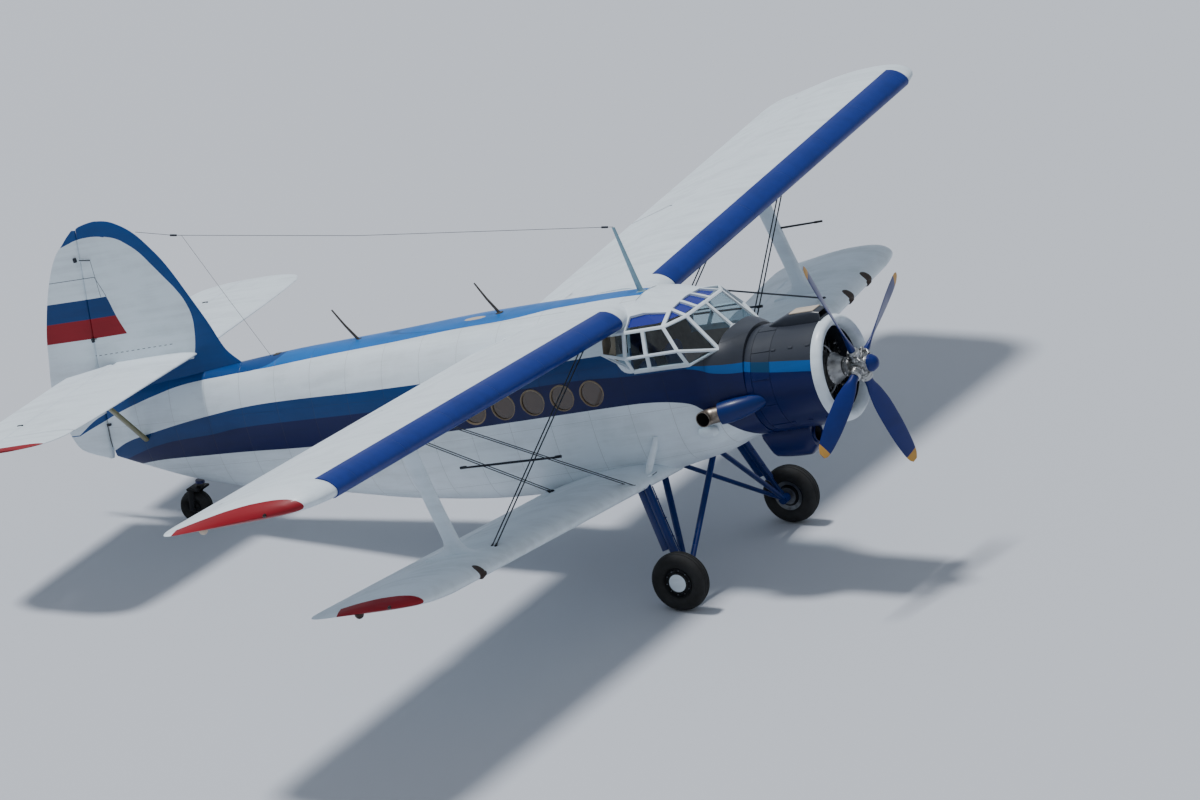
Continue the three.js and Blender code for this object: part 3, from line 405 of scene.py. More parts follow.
class Paint(Enum):
    """The aircraft's paints, as sRGB hex codes."""

    WHITE = "#dbe6ee"
    SPINE_BLUE = "#1668b4"
    FIN_BLUE = "#00407f"
    BAND_BLUE = "#00366e"
    # Painted shade: a darker cowl blue for the ring of cowl flaps.
    COWL_BLUE = "#005092"
    GILL_SHADE_BLUE = "#04385c"
    NAVY = "#00104a"
    SLAT_BLUE = "#05287c"
    GEAR_BLUE = "#00205f"
    BLADE_BLUE = "#071f66"
    # Black paint on the nose deck and the scoop; inside the cowl the same black is painted shade.
    BLACK_AND_COWL_SHADE = "#30353f"
    RED = "#8a0a1c"
    TIP_YELLOW = "#bf8f40"
    BUFF = "#c2b5a4"
    RIM_BROWN = "#84745f"
    WELL_BROWN = "#3a2c26"
    OLIVE = "#7f7d5e"
    MAST_GREY = "#86a7b6"
    WHIP_GREY = "#4b4640"
    SATIN_BLACK = "#0c0d10"
    LINE = "#5c656c"

    @property
    def tone(self) -> Colour:
        """The paint's linear colour."""
        return linear(self.value)


# Heights of the paint's edges along the fuselage side, as (x, z): the band's top, the change from mid blue
# to navy, the band's foot, the foot of the black nose deck and the foot and head of the blue at the fin's
# root. The spine's blue has its half width by place, as (x, y).
BAND_TOP = ((-9165, 382), (-8825, 507), (-8561, 561), (-8227, 617), (-7842, 678), (-7279, 750), (-6544, 821),
            (-5829, 844), (-4450, 850), (-740, 867), (-500, 716), (-290, 580), (-268, 1500), (1300, 1500))
BAND_MIDDLE = ((-9165, 185), (-8686, 327), (-8314, 407), (-7926, 452), (-7371, 481), (-6701, 541),
               (-5204, 562), (-1433, 595), (-357, 548), (400, 528), (563, 505), (865, 388), (1447, 274),
               (2226, 195))
BAND_FOOT = ((-9165, 40), (-8913, 111), (-8631, 161), (-8235, 188), (-7128, 192), (-5774, 170), (-1106, 168),
             (-332, 161), (263, 93), (596, -65), (780, -260), (960, -520), (1080, -700), (1200, -900))
GLARE_FOOT = ((500, 560), (563, 548), (685, 525), (1002, 468), (1300, 412), (1909, 358), (2287, 325))
ROOT_FOOT = ((-9660, 655), (-9485, 719), (-9181, 819), (-8806, 943), (-8496, 1026), (-8164, 1102),
             (-7808, 1170), (-7491, 1204), (-6893, 1238), (-6338, 1274), (-5900, 1420))
ROOT_HEAD = ((-9660, 668), (-9300, 862), (-9080, 940))
SPINE_HALF = ((-6700, 215), (-5650, 285), (-2702, 325), (-1516, 190), (-283, 150))
# The inner edge of the fin's blue border, as (z, x), its foot along the top, and the stripes' sloping front.
FIN_BORDER = ((1500, -7450), (1627, -7391), (1891, -7317), (2070, -7296), (2293, -7333), (2505, -7430),
              (2667, -7535), (2897, -7690), (3098, -7835), (3239, -7989), (3319, -8105), (3372, -8252),
              (3397, -8389), (3411, -8508))
FIN_HEAD = ((-9040, 3325), (-8900, 3363), (-8786, 3392), (-8655, 3409), (-8508, 3411), (-8300, 3376))
STRIPE_FRONT = ((1980, -8375), (2254, -8470), (2539, -8536), (2848, -8640))
STRIPES = (2000, 2275, 2555)
SPINE_FRONT, DECK_BACK, FIREWALL = -281.0, 500.0, 1195.5
LAMPS = ((5200.0, Side.LEFT), (5800.0, Side.LEFT), (5760.0, Side.RIGHT))
STRUT_Y = 5150.0  # the interplane strut's place along the span
UPPER_ROOT, LOWER_ROOT = (-295.0, 1205.0), (-290.0, -955.0)  # each wing's leading edge on the centre line


class Coat:
    """Paint laid on in layers, each over the last where its tests hold."""

    def __init__(self, tree: Tree, place: Sequence[Socket], first: Paint) -> None:
        """Starts with one paint all over.

        Args:
            tree: Its node tree.
            place: The sockets of x, y and z in the level frame.
            first: The paint below.
        """
        self.tree = tree
        self.x, self.y, self.z = place[0], place[1], place[2]
        self.aside = add(tree, "Math", self.y, operation="ABSOLUTE")
        self.colour = add(tree, "Mix", 0.0, first.tone, first.tone, data_type="RGBA")

    def edge(self, along: Socket, table: Table) -> Socket:
        """A paint edge that follows a table of points.

        Args:
            along: The socket of the axis that it runs along.
            table: Its points as (place, height).

        Returns:
            The socket of its height.
        """
        xs, zs = [row[0] for row in table], [row[1] for row in table]
        low, high = min(zs), max(zs)
        share = add(self.tree, "MapRange", along, xs[0], xs[-1], 0.0, 1.0)
        read = add(self.tree, "FloatCurve", 1.0, share)
        points = read.node.mapping.curves[0].points
        places = [((x - xs[0]) / (xs[-1] - xs[0]), (z - low) / (high - low)) for x, z in table]
        points[0].location, points[1].location = places[0], places[-1]
        for x, z in places[1:-1]:
            points.new(x, z)
        for point in points:
            point.handle_type = "AUTO_CLAMPED"
        read.node.mapping.update()
        return add(self.tree, "MapRange", read, 0.0, 1.0, low, high)

    def lay(self, over: Paint, *tests: tuple[Value, Value]) -> "Coat":
        """Lays a paint where every test holds.

        Args:
            over: The paint.
            tests: Pairs (a, b), each true where a is above b.

        Returns:
            The coat itself.
        """
        mask = None
        for a, b in tests:
            test = add(self.tree, "Math", a, b, operation="GREATER_THAN")
            mask = test if mask is None else add(self.tree, "Math", mask, test, operation="MULTIPLY")
        self.colour = add(self.tree, "Mix", mask, self.colour, over.tone, data_type="RGBA")
        return self

    def line(self, along: Socket, at: Value, width: float, *tests: tuple[Value, Value]) -> "Coat":
        """Draws a dark joint line across one axis, where the other tests hold.

        Args:
            along: The socket of the axis.
            at: Where the line stands on it, as a number or a socket.
            width: Half the line's width.
            tests: Pairs as for lay.

        Returns:
            The coat itself.
        """
        apart = add(self.tree, "Math", along, at, operation="SUBTRACT")
        off = add(self.tree, "Math", apart, operation="ABSOLUTE")
        return self.lay(Paint.LINE, (width, off), *tests)

    def fuselage(self) -> None:
        """A two-blue side band, a blue spine, the fin's blue root and a black deck before the cockpit, with
        painted shade over the cowl flaps and inside the cowl.
        """
        x, z = self.x, self.z
        self.lay(Paint.BAND_BLUE, (self.edge(x, BAND_TOP), z)).lay(Paint.COWL_BLUE, (x, DECK_BACK))
        # Painted shade: a darker cowl blue over the ring of cowl flaps.
        self.lay(Paint.GILL_SHADE_BLUE, (x, 1310.0), (1583.0, x))
        self.lay(Paint.NAVY, (self.edge(x, BAND_MIDDLE), z))
        self.lay(Paint.WHITE, (self.edge(x, BAND_FOOT), z), (FIREWALL, x))
        spine = self.edge(x, SPINE_HALF)
        self.lay(Paint.SPINE_BLUE, (spine, self.aside), (z, 1150.0), (SPINE_FRONT, x), (x, SPINE_HALF[0][0]))
        self.lay(Paint.FIN_BLUE, (z, self.edge(x, ROOT_FOOT)), (ROOT_FOOT[-1][0], x))
        self.lay(Paint.BLACK_AND_COWL_SHADE, (z, self.edge(x, GLARE_FOOT)), (x, DECK_BACK))
        # The cowl's inside and the bulkhead behind the engine are painted black as painted shade, for the
        # shadow within the cowl.
        across = add(self.tree, "CombineXYZ", 0.0, self.y, z)
        around = add(self.tree, "VectorMath", across, operation="LENGTH").node.outputs["Value"]
        self.lay(Paint.BLACK_AND_COWL_SHADE, (x, 1240.0), (703.0, around))

    def fin(self) -> None:
        """A blue border along the top and leading edge, two broad stripes and the rudder's joint lines."""
        x, z = self.x, self.z
        low, blue, high = STRIPES
        self.lay(Paint.FIN_BLUE, (x, self.edge(z, FIN_BORDER)))
        self.lay(Paint.FIN_BLUE, (z, self.edge(x, FIN_HEAD)), (FIN_HEAD[-1][0], x))
        back = ROOT_HEAD[-1][0]
        self.lay(Paint.FIN_BLUE, (FIN_BORDER[0][0], z), (x, back))
        self.lay(Paint.FIN_BLUE, (z, self.edge(x, ROOT_FOOT)), (self.edge(x, ROOT_HEAD), z), (back, x))
        front = self.edge(z, STRIPE_FRONT)
        self.lay(Paint.RED, (front, x), (z, low), (blue, z))
        self.lay(Paint.BAND_BLUE, (front, x), (z, blue), (high, z))
        # The trim tab's head, its front, the rudder's front above it, and the dashed foot of the fin's sheet.
        self.line(z, 2850.0, 5.0, (-8640.0, x)).line(x, front, 5.0, (z, high), (2850.0, z))
        self.line(x, -8628.0, 4.0, (z, high), (3094.0, z))
        dash = add(self.tree, "Math", x, 45.0, operation="PINGPONG")
        self.line(z, 1752.0, 5.0, (22.0, dash), (-7700.0, x), (x, -9000.0))

    def spot(self, x: float, y: float, half: float) -> None:
        """A round dark lamp well on a leading edge.

        Args:
            x: Its place along the length.
            y: Its place along the span.
            half: Half its width across the span. The edge's slope makes it 1.6 times as long as wide.
        """
        along = add(self.tree, "Math", self.x, -x, operation="ADD")
        across = add(self.tree, "Math", self.y, -y, operation="ADD")
        flat = add(self.tree, "CombineXYZ", along, across, 0.0)
        spread = add(self.tree, "VectorMath", flat, (1 / half / 1.6, 1 / half, 0.0), operation="MULTIPLY")
        far = add(self.tree, "VectorMath", spread, operation="LENGTH").node.outputs["Value"]
        self.lay(Paint.WHIP_GREY, (1.12, far)).lay(Paint.WELL_BROWN, (1.0, far))

    def tip(self, first: float, back: float) -> None:
        """A red tip on the right, outboard of a place along the span and ahead of one along the length."""
        self.lay(Paint.RED, (-first, self.y), (self.x, back))


def level_place(tree: Tree) -> Socket:
    """Where a point of the surface is, in the level frame in millimetres, for a piece at rest."""
    own, shift = add(tree, "TexCoord").node.outputs["Object"], tuple(PARKED.inverted().translation)
    return add(tree, "Mapping", own, shift, (0.0, PARKED_PITCH, 0.0), (1 / MM, 1 / MM, 1 / MM))


class Livery(Enum):
    """How a piece is painted. A tip's numbers are where its red starts across and along the aircraft."""

    FUSELAGE = "fuselage"
    FIN = "fin"
    UPPER_TIP = (8890.0, -2445.0)
    LOWER_TIP = (6930.0, -1740.0)
    TAIL_TIP = (3490.0, -9500.0)

    def paint(self, coat: Coat) -> None:
        """Lays this livery's paints.

        Args:
            coat: The coat to lay them on.
        """
        if self is Livery.FUSELAGE:
            coat.fuselage()
        elif self is Livery.FIN:
            coat.fin()
        else:
            coat.tip(*self.value)
            for y, side in LAMPS if self is Livery.LOWER_TIP else ():
                coat.spot(LOWER_ROOT[0], y * side.value, 66.0)


@dataclass(frozen=True)
class Seams:
    """Sheet joints across one axis, each with rows of rivets along another, in millimetres."""

    across: int
    along: int
    pitch: float
    offset: float = 0.0
    line: float = 5.0
    rivet_row: float = 26.0
    rivet_gap: float = 55.0
    rivet: float = 7.0  # twice the real head, so that it shows at this distance

    def marks(self, tree: Tree, axes: Sequence[Socket]) -> tuple[Socket, Socket]:
        """Where the joints and rivets are.

        Args:
            tree: Its node tree.
            axes: The sockets of x, y and z in the level frame.

        Returns:
            The joints' lines and the rivets' heads, each from 0 to 1.
        """
        moved = add(tree, "Math", axes[self.across], -self.offset, operation="ADD")
        gap = add(tree, "Math", moved, self.pitch / 2, operation="PINGPONG")
        line = add(tree, "MapRange", gap, self.line * 0.3, self.line, 1.0, 0.0)
        row = add(tree, "Math", gap, -self.rivet_row, operation="ADD")
        step = add(tree, "Math", axes[self.along], self.rivet_gap / 2, operation="PINGPONG")
        far = add(tree, "VectorMath", add(tree, "CombineXYZ", row, step, 0.0), operation="LENGTH")
        head = add(tree, "MapRange", far.node.outputs["Value"], self.rivet * 0.5, self.rivet, 1.0, 0.0)
        return line, head


@dataclass(frozen=True)
class Finish:
    """A finish: what a surface is made of and how it was made."""

    name: str

    def sockets(self, tree: Tree) -> dict:
        """What the surface shader's sockets take."""
        raise NotImplementedError

    def build(self, tree: Tree) -> None:
        """Fills an empty node tree."""
        shader = add(tree, "BsdfPrincipled", named=self.sockets(tree))
        add(tree, "OutputMaterial", shader)


@functools.lru_cache(maxsize=None)
def material_of(finish: Finish) -> bpy.types.Material:
    """The material of a finish, made once.

    Args:
        finish: The finish.

    Returns:
        The material.
    """
    made = bpy.data.materials.new(finish.name)
    made.use_nodes = True
    made.node_tree.nodes.clear()
    finish.build(made.node_tree)
    return made


@dataclass(frozen=True)
class Enamel(Finish):
    """Alkyd enamel sprayed on aluminium sheet or doped cloth.

    It has an even gloss with faint orange peel, rain streaks that run with the air flow, grime along the
    sheets' joints, and rivet heads that stand just proud of it.
    """

    paint: Paint = Paint.WHITE
    livery: Optional[Livery] = None
    seams: tuple[Seams, ...] = ()
    roughness: float = 0.34
    grime: float = 0.16

    def sockets(self, tree: Tree) -> dict:
        """The coat's colour with its weathering, gloss and relief.

        Args:
            tree: Its node tree.

        Returns:
            What the surface shader's sockets take, by name.
        """
        place = level_place(tree)
        axes = add(tree, "SeparateXYZ", place).node.outputs
        layers = Coat(tree, axes, self.paint)
        if self.livery:
            self.livery.paint(layers)
        coat = layers.colour
        streaked = add(tree, "VectorMath", place, (1 / 1500, 1 / 160, 1 / 110), operation="MULTIPLY")
        streak = add(tree, "TexNoise", streaked, 1.0, 4.0, 0.6)
        cloud = add(tree, "TexNoise", place, 1 / 700, 5.0, 0.62)
        both = add(tree, "Math", streak, cloud, operation="MULTIPLY")
        dirt = add(tree, "MapRange", both, 0.2, 0.36, 0.0, self.grime)
        peel = add(tree, "TexNoise", place, 1 / 9, 2.0, 0.5)  # drawn at 9 mm for 2 mm, so that it shows
        height = add(tree, "Math", peel, 0.05, operation="MULTIPLY")
        for seam in self.seams:
            line, head = seam.marks(tree, axes)
            for mark, grime in ((line, 0.45), (head, 0.14)):
                caught = add(tree, "Math", mark, grime, operation="MULTIPLY")
                dirt = add(tree, "Math", dirt, caught, operation="MAXIMUM")
            proud = add(tree, "Math", head, 0.5, operation="MULTIPLY")
            relief = add(tree, "Math", proud, line, operation="SUBTRACT")
            height = add(tree, "Math", height, relief, operation="ADD")
        darker = add(tree, "Mix", 1.0, coat, linear("#7f7b70"), data_type="RGBA", blend_type="MULTIPLY")
        colour = add(tree, "Mix", dirt, coat, darker, data_type="RGBA")
        dull = add(tree, "MapRange", cloud, 0.3, 0.7, self.roughness - 0.06, self.roughness + 0.12)
        bump = add(tree, "Bump", named={"Strength": 0.5, "Distance": 0.003, "Height": height})
        return {"Base Color": colour, "Roughness": dull, "Normal": bump, "Specular IOR Level": 0.28,
                "Coat Weight": 0.05, "Coat Roughness": 0.12}


@dataclass(frozen=True)
class Metal(Finish):
    """Bare or plated metal, with the fine lines of its working along one axis and darker stains."""

    colour: str = "#8b8d90"
    roughness: float = 0.35
    grain: tuple[float, float, float] = (1 / 60, 1 / 4, 1 / 4)
    stain: float = 0.35
    metallic: float = 1.0

    def sockets(self, tree: Tree) -> dict:
        """The metal's colour with its stains, gloss and grain.

        Args:
            tree: Its node tree.

        Returns:
            What the surface shader's sockets take, by name.
        """
        place = level_place(tree)
        drawn = add(tree, "VectorMath", place, self.grain, operation="MULTIPLY")
        lines = add(tree, "TexNoise", drawn, 1.0, 3.0, 0.6)
        cloud = add(tree, "TexNoise", place, 1 / 90, 4.0, 0.6)
        stain = add(tree, "MapRange", cloud, 0.45, 0.75, 0.0, self.stain)
        dark = add(tree, "Mix", 1.0, linear(self.colour), linear("#6d6660"), data_type="RGBA",
                   blend_type="MULTIPLY")
        both = add(tree, "Math", lines, cloud, operation="ADD")
        dull = add(tree, "MapRange", both, 0.7, 1.3, self.roughness - 0.08, self.roughness + 0.14)
        bump = add(tree, "Bump", named={"Strength": 0.25, "Distance": 0.001, "Height": lines})
        colour = add(tree, "Mix", stain, linear(self.colour), dark, data_type="RGBA")
        return {"Base Color": colour, "Metallic": self.metallic, "Roughness": dull, "Normal": bump}


@dataclass(frozen=True)
class Grained(Finish):
    """Rubber, leather, moulded trim or quilted lining: a matt body colour with a pebbled or sewn surface."""

    colour: str = "#17181a"
    roughness: float = 0.75
    grain: float = 5.0
    depth: float = 0.001
    quilt: float = 0.0

    def sockets(self, tree: Tree) -> dict:
        """The body colour with its grain.

        Args:
            tree: Its node tree.

        Returns:
            What the surface shader's sockets take, by name.
        """
        place = level_place(tree)
        height = add(tree, "TexVoronoi", place, 1 / self.grain)
        cloud = add(tree, "TexNoise", place, 1 / 220, 4.0, 0.6)
        if self.quilt:
            axes = add(tree, "SeparateXYZ", place).node.outputs
            rows = [add(tree, "Math", axes[i], self.quilt / 2, operation="PINGPONG") for i in (0, 2)]
            sewn = add(tree, "Math", *rows, operation="MINIMUM")
            height = add(tree, "MapRange", sewn, 0.0, self.quilt / 4, 0.0, 4.0)
        pale = add(tree, "Mix", 1.0, linear(self.colour), linear("#c8c2ba"), data_type="RGBA",
                   blend_type="MULTIPLY")
        worn = add(tree, "MapRange", cloud, 0.35, 0.7, 0.0, 1.0)
        colour = add(tree, "Mix", worn, linear(self.colour), pale, data_type="RGBA")
        bump = add(tree, "Bump", named={"Strength": 0.6, "Distance": self.depth, "Height": height})
        dull = add(tree, "MapRange", cloud, 0.3, 0.7, self.roughness - 0.08, self.roughness + 0.1)
        return {"Base Color": colour, "Roughness": dull, "Normal": bump}


@dataclass(frozen=True)
class StudioFloor(Finish):
    """Rolled matt floor paint: pale, dull and a little uneven."""

    def sockets(self, tree: Tree) -> dict:
        """The pale coat, with its slow unevenness."""
        cloud = add(tree, "TexNoise", level_place(tree), 1 / 30000, 2.0, 0.4)
        return {"Base Color": add(tree, "Mix", cloud, linear("#bcc0c8"), linear("#c1c5cd"), data_type="RGBA"),
                "Roughness": 0.9}


@dataclass(frozen=True)
class Pane(Finish):
    """Acrylic sheet, cast and formed: it lets its tint through, reflects at a slant and has faint smears.

    The dyed parts also scatter some of their colour, so that they read as blue or amber over a dark cabin.
    """

    tint: str = "#dfe9ea"
    high: str = "#2433a8"
    above: float = 1e6  # the height from which the sheet is dyed
    behind: float = -1e6  # the place behind which the sheet is amber
    amber: str = "#9c8d6e"

    def build(self, tree: Tree) -> None:
        """A clear layer, a scattering one where it is dyed, and a reflecting one weighed by the slant.

        Args:
            tree: Its node tree.
        """
        place = level_place(tree)
        axes = add(tree, "SeparateXYZ", place).node.outputs
        dyed = add(tree, "Math", axes[2], self.above, operation="GREATER_THAN")
        amber = add(tree, "Math", axes[0], self.behind, operation="LESS_THAN")
        tint = add(tree, "Mix", dyed, linear(self.tint), linear(self.high), data_type="RGBA")
        tint = add(tree, "Mix", amber, tint, linear(self.amber), data_type="RGBA")
        cloud = add(tree, "TexNoise", place, 1 / 120, 4.0, 0.6)
        smear = add(tree, "MapRange", cloud, 0.3, 0.7, 0.02, 0.09)
        coloured = add(tree, "Math", dyed, amber, operation="MAXIMUM")
        weight = add(tree, "Math", coloured, 0.6, operation="MULTIPLY")
        through, scattered = add(tree, "BsdfTransparent", tint), add(tree, "BsdfDiffuse", tint)
        clear = add(tree, "MixShader", weight, through, scattered)
        shine = add(tree, "BsdfGlossy", (0.95, 0.97, 1.0, 1.0), smear)
        inner = add(tree, "NewGeometry").node.outputs["Backfacing"]  # that face adds no shine of its own
        share = add(tree, "MapRange", add(tree, "Fresnel", 1.49), 0.0, 1.0, 0.03, 1.0)
        outer = add(tree, "Math", 1.0, inner, operation="SUBTRACT")
        share = add(tree, "Math", share, outer, operation="MULTIPLY")
        add(tree, "OutputMaterial", add(tree, "MixShader", share, clear, shine))


WHITE_SIDE = Enamel("white_enamel_on_alloy_sheet", Paint.WHITE, Livery.FUSELAGE,
                    (Seams(0, 2, 620.0, 120.0), Seams(2, 0, 690.0, 30.0, 3.0)))
WHITE = Enamel("white_enamel_on_alloy_parts")
NAVY = Enamel("navy_enamel_on_steel_parts", Paint.NAVY)
GEAR = Enamel("blue_enamel_on_steel_tube", Paint.GEAR_BLUE, roughness=0.3)
BLADE = Enamel("blue_enamel_on_forged_blades", Paint.BLADE_BLUE, roughness=0.3)
TIP = Enamel("yellow_enamel_on_blade_tips", Paint.TIP_YELLOW, roughness=0.45)
SLAT = Enamel("blue_enamel_on_slats", Paint.SLAT_BLUE, None, (Seams(1, 0, 1240.0, 790.0),))
CLOTH_UPPER = Enamel("white_dope_on_upper_wing_cloth", Paint.WHITE, Livery.UPPER_TIP, roughness=0.42)
CLOTH_LOWER = Enamel("white_dope_on_lower_wing_cloth", Paint.WHITE, Livery.LOWER_TIP, roughness=0.42)
CLOTH_TAIL = Enamel("white_dope_on_tailplane_cloth", Paint.WHITE, Livery.TAIL_TIP, roughness=0.42)
FIN_COAT = Enamel("striped_enamel_on_fin", Paint.WHITE, Livery.FIN, roughness=0.38)
STEEL = Metal("bare_drawn_steel", "#8f9296", 0.3)
SILVER = Metal("cast_aluminium_crankcase", "#a9aaab", 0.42, (1 / 6, 1 / 6, 1 / 6), 0.6)
FINS = Metal("black_baked_cylinder_fins", "#3c3c3e", 0.55, (1 / 5, 1 / 5, 1 / 5), 0.5, 0.6)
SCORCHED = Metal("heat_stained_exhaust_steel", "#9a8f84", 0.38, (1 / 30, 1 / 8, 1 / 8), 0.8)
WIRE = Metal("oiled_streamline_wire", "#30343c", 0.45, (1 / 40, 1 / 40, 1 / 4), 0.3, 0.7)
DRUM = Metal("turned_brake_drum", "#83868a", 0.45, (1 / 9, 1 / 9, 1 / 9), 0.6)
HUB_STEEL = Metal("machined_hub_steel", "#b4b5b5", 0.3, (1 / 9, 1 / 9, 1 / 9), 0.5)
# Black enamel on the tail wheel and fork; on the main wheels' rims the same black is painted shade.
BLACK_AND_RIM_SHADE = Enamel("black_enamel_on_wheel_rim", Paint.SATIN_BLACK, roughness=0.5)
RUBBER = Grained("moulded_tyre_rubber", "#191a1b", 0.8, 14.0)
TRIM = Grained("black_crackle_enamel_on_panel", "#1e1f22", 0.6, 3.0)
COVER = Grained("blue_woven_seat_cover", "#27488f", 0.85, 5.0, 0.0015, 60.0)
LINING = Grained("buff_sewn_cabin_lining", "#a99a86", 0.85, 8.0, 0.002, 240.0)
COCKPIT_PANE = Pane("formed_acrylic_canopy", "#e4ecef", "#2433a8", 1165.0, -470.0)
CABIN_PANE = Pane("amber_tinted_cabin_acrylic", behind=1e6, amber="#553d28")
LENS = Pane("lamp_lens_glass", "#6b6258")
OLIVE = Enamel("olive_enamel_on_tail_strut", Paint.OLIVE)
WHIP = Enamel("grey_enamel_on_whip_aerials", Paint.WHIP_GREY, roughness=0.5)


@dataclass(frozen=True)
class Hull:
    """The fuselage's outer shape: a superellipse that changes along the length."""

    # Each row is x, top, bottom, half width, upper exponent, lower exponent.
    rows: Table = ((1195, 748, -706, 706, 2.1, 2.1), (945, 792, -700, 800, 3.0, 2.3),
                   (540, 1010, -815, 878, 3.0, 2.8), (-280, 1436, -955, 885, 2.6, 3.2),
                   (-900, 1452, -1070, 885, 2.6, 3.4), (-2760, 1450, -1030, 880, 2.6, 3.2),
                   (-4340, 1408, -880, 790, 2.4, 2.8), (-5700, 1388, -655, 590, 2.3, 2.4),
                   (-6900, 1328, -462, 410, 2.2, 2.2), (-7900, 1272, -215, 260, 2, 2),
                   (-8800, 1240, 132, 120, 2, 2), (-9165, 1225, 290, 52, 2, 2))
    sides: int = 112
    step: float = 110.0  # the greatest distance between sections

    def ring(self, x: float, draw: float = 0.0) -> np.ndarray:
        """A section of the hull.

        Args:
            x: Its place.
            draw: How far it is drawn in from the skin.

        Returns:
            Its points.
        """
        top, bottom, half, upper, lower = eased(self.rows, [x])[0]
        middle, rise = (top + bottom) / 2, (top - bottom) / 2 - draw
        c, s = circle(self.sides)
        power = np.where(s >= 0, 2 / upper, 2 / lower)
        y = (half - draw) * np.sign(c) * np.abs(c) ** power
        z = middle + rise * np.sign(s) * np.abs(s) ** power
        return np.stack([np.full(self.sides, x), y, z], 1)

    def tube(self, x0: float, x1: float, draw: float = 0.0, mark: int = 0) -> Draft:
        """The solid within the skin, drawn in from it by draw, between two places."""
        count = max(2, int(abs(x1 - x0) / self.step) + 1)
        return Draft().loft([self.ring(x, draw) for x in np.linspace(x0, x1, count)], mark)


HULL = Hull()
RUDDER_LINE = ((-9200.0, 700.0), (-8754.0, 3505.0))  # two points of the hinge line, as (x, z)


def rudder_line(z: float) -> float:
    """Where the rudder's hinge line stands at a height."""
    (x0, z0), (x1, z1) = RUDDER_LINE
    return x0 + (x1 - x0) * (z - z0) / (z1 - z0)


def box(x0: float, x1: float, y0: float, y1: float, z0: float, z1: float, mark: int = 1) -> Draft:
    """A plain block to cut with."""
    faces = [(0, 1, 3, 2), (4, 6, 7, 5), (0, 4, 5, 1), (2, 3, 7, 6), (0, 2, 6, 4), (1, 5, 7, 3)]
    return Draft().add([(x, y, z) for x in (x0, x1) for y in (y0, y1) for z in (z0, z1)], faces, mark)


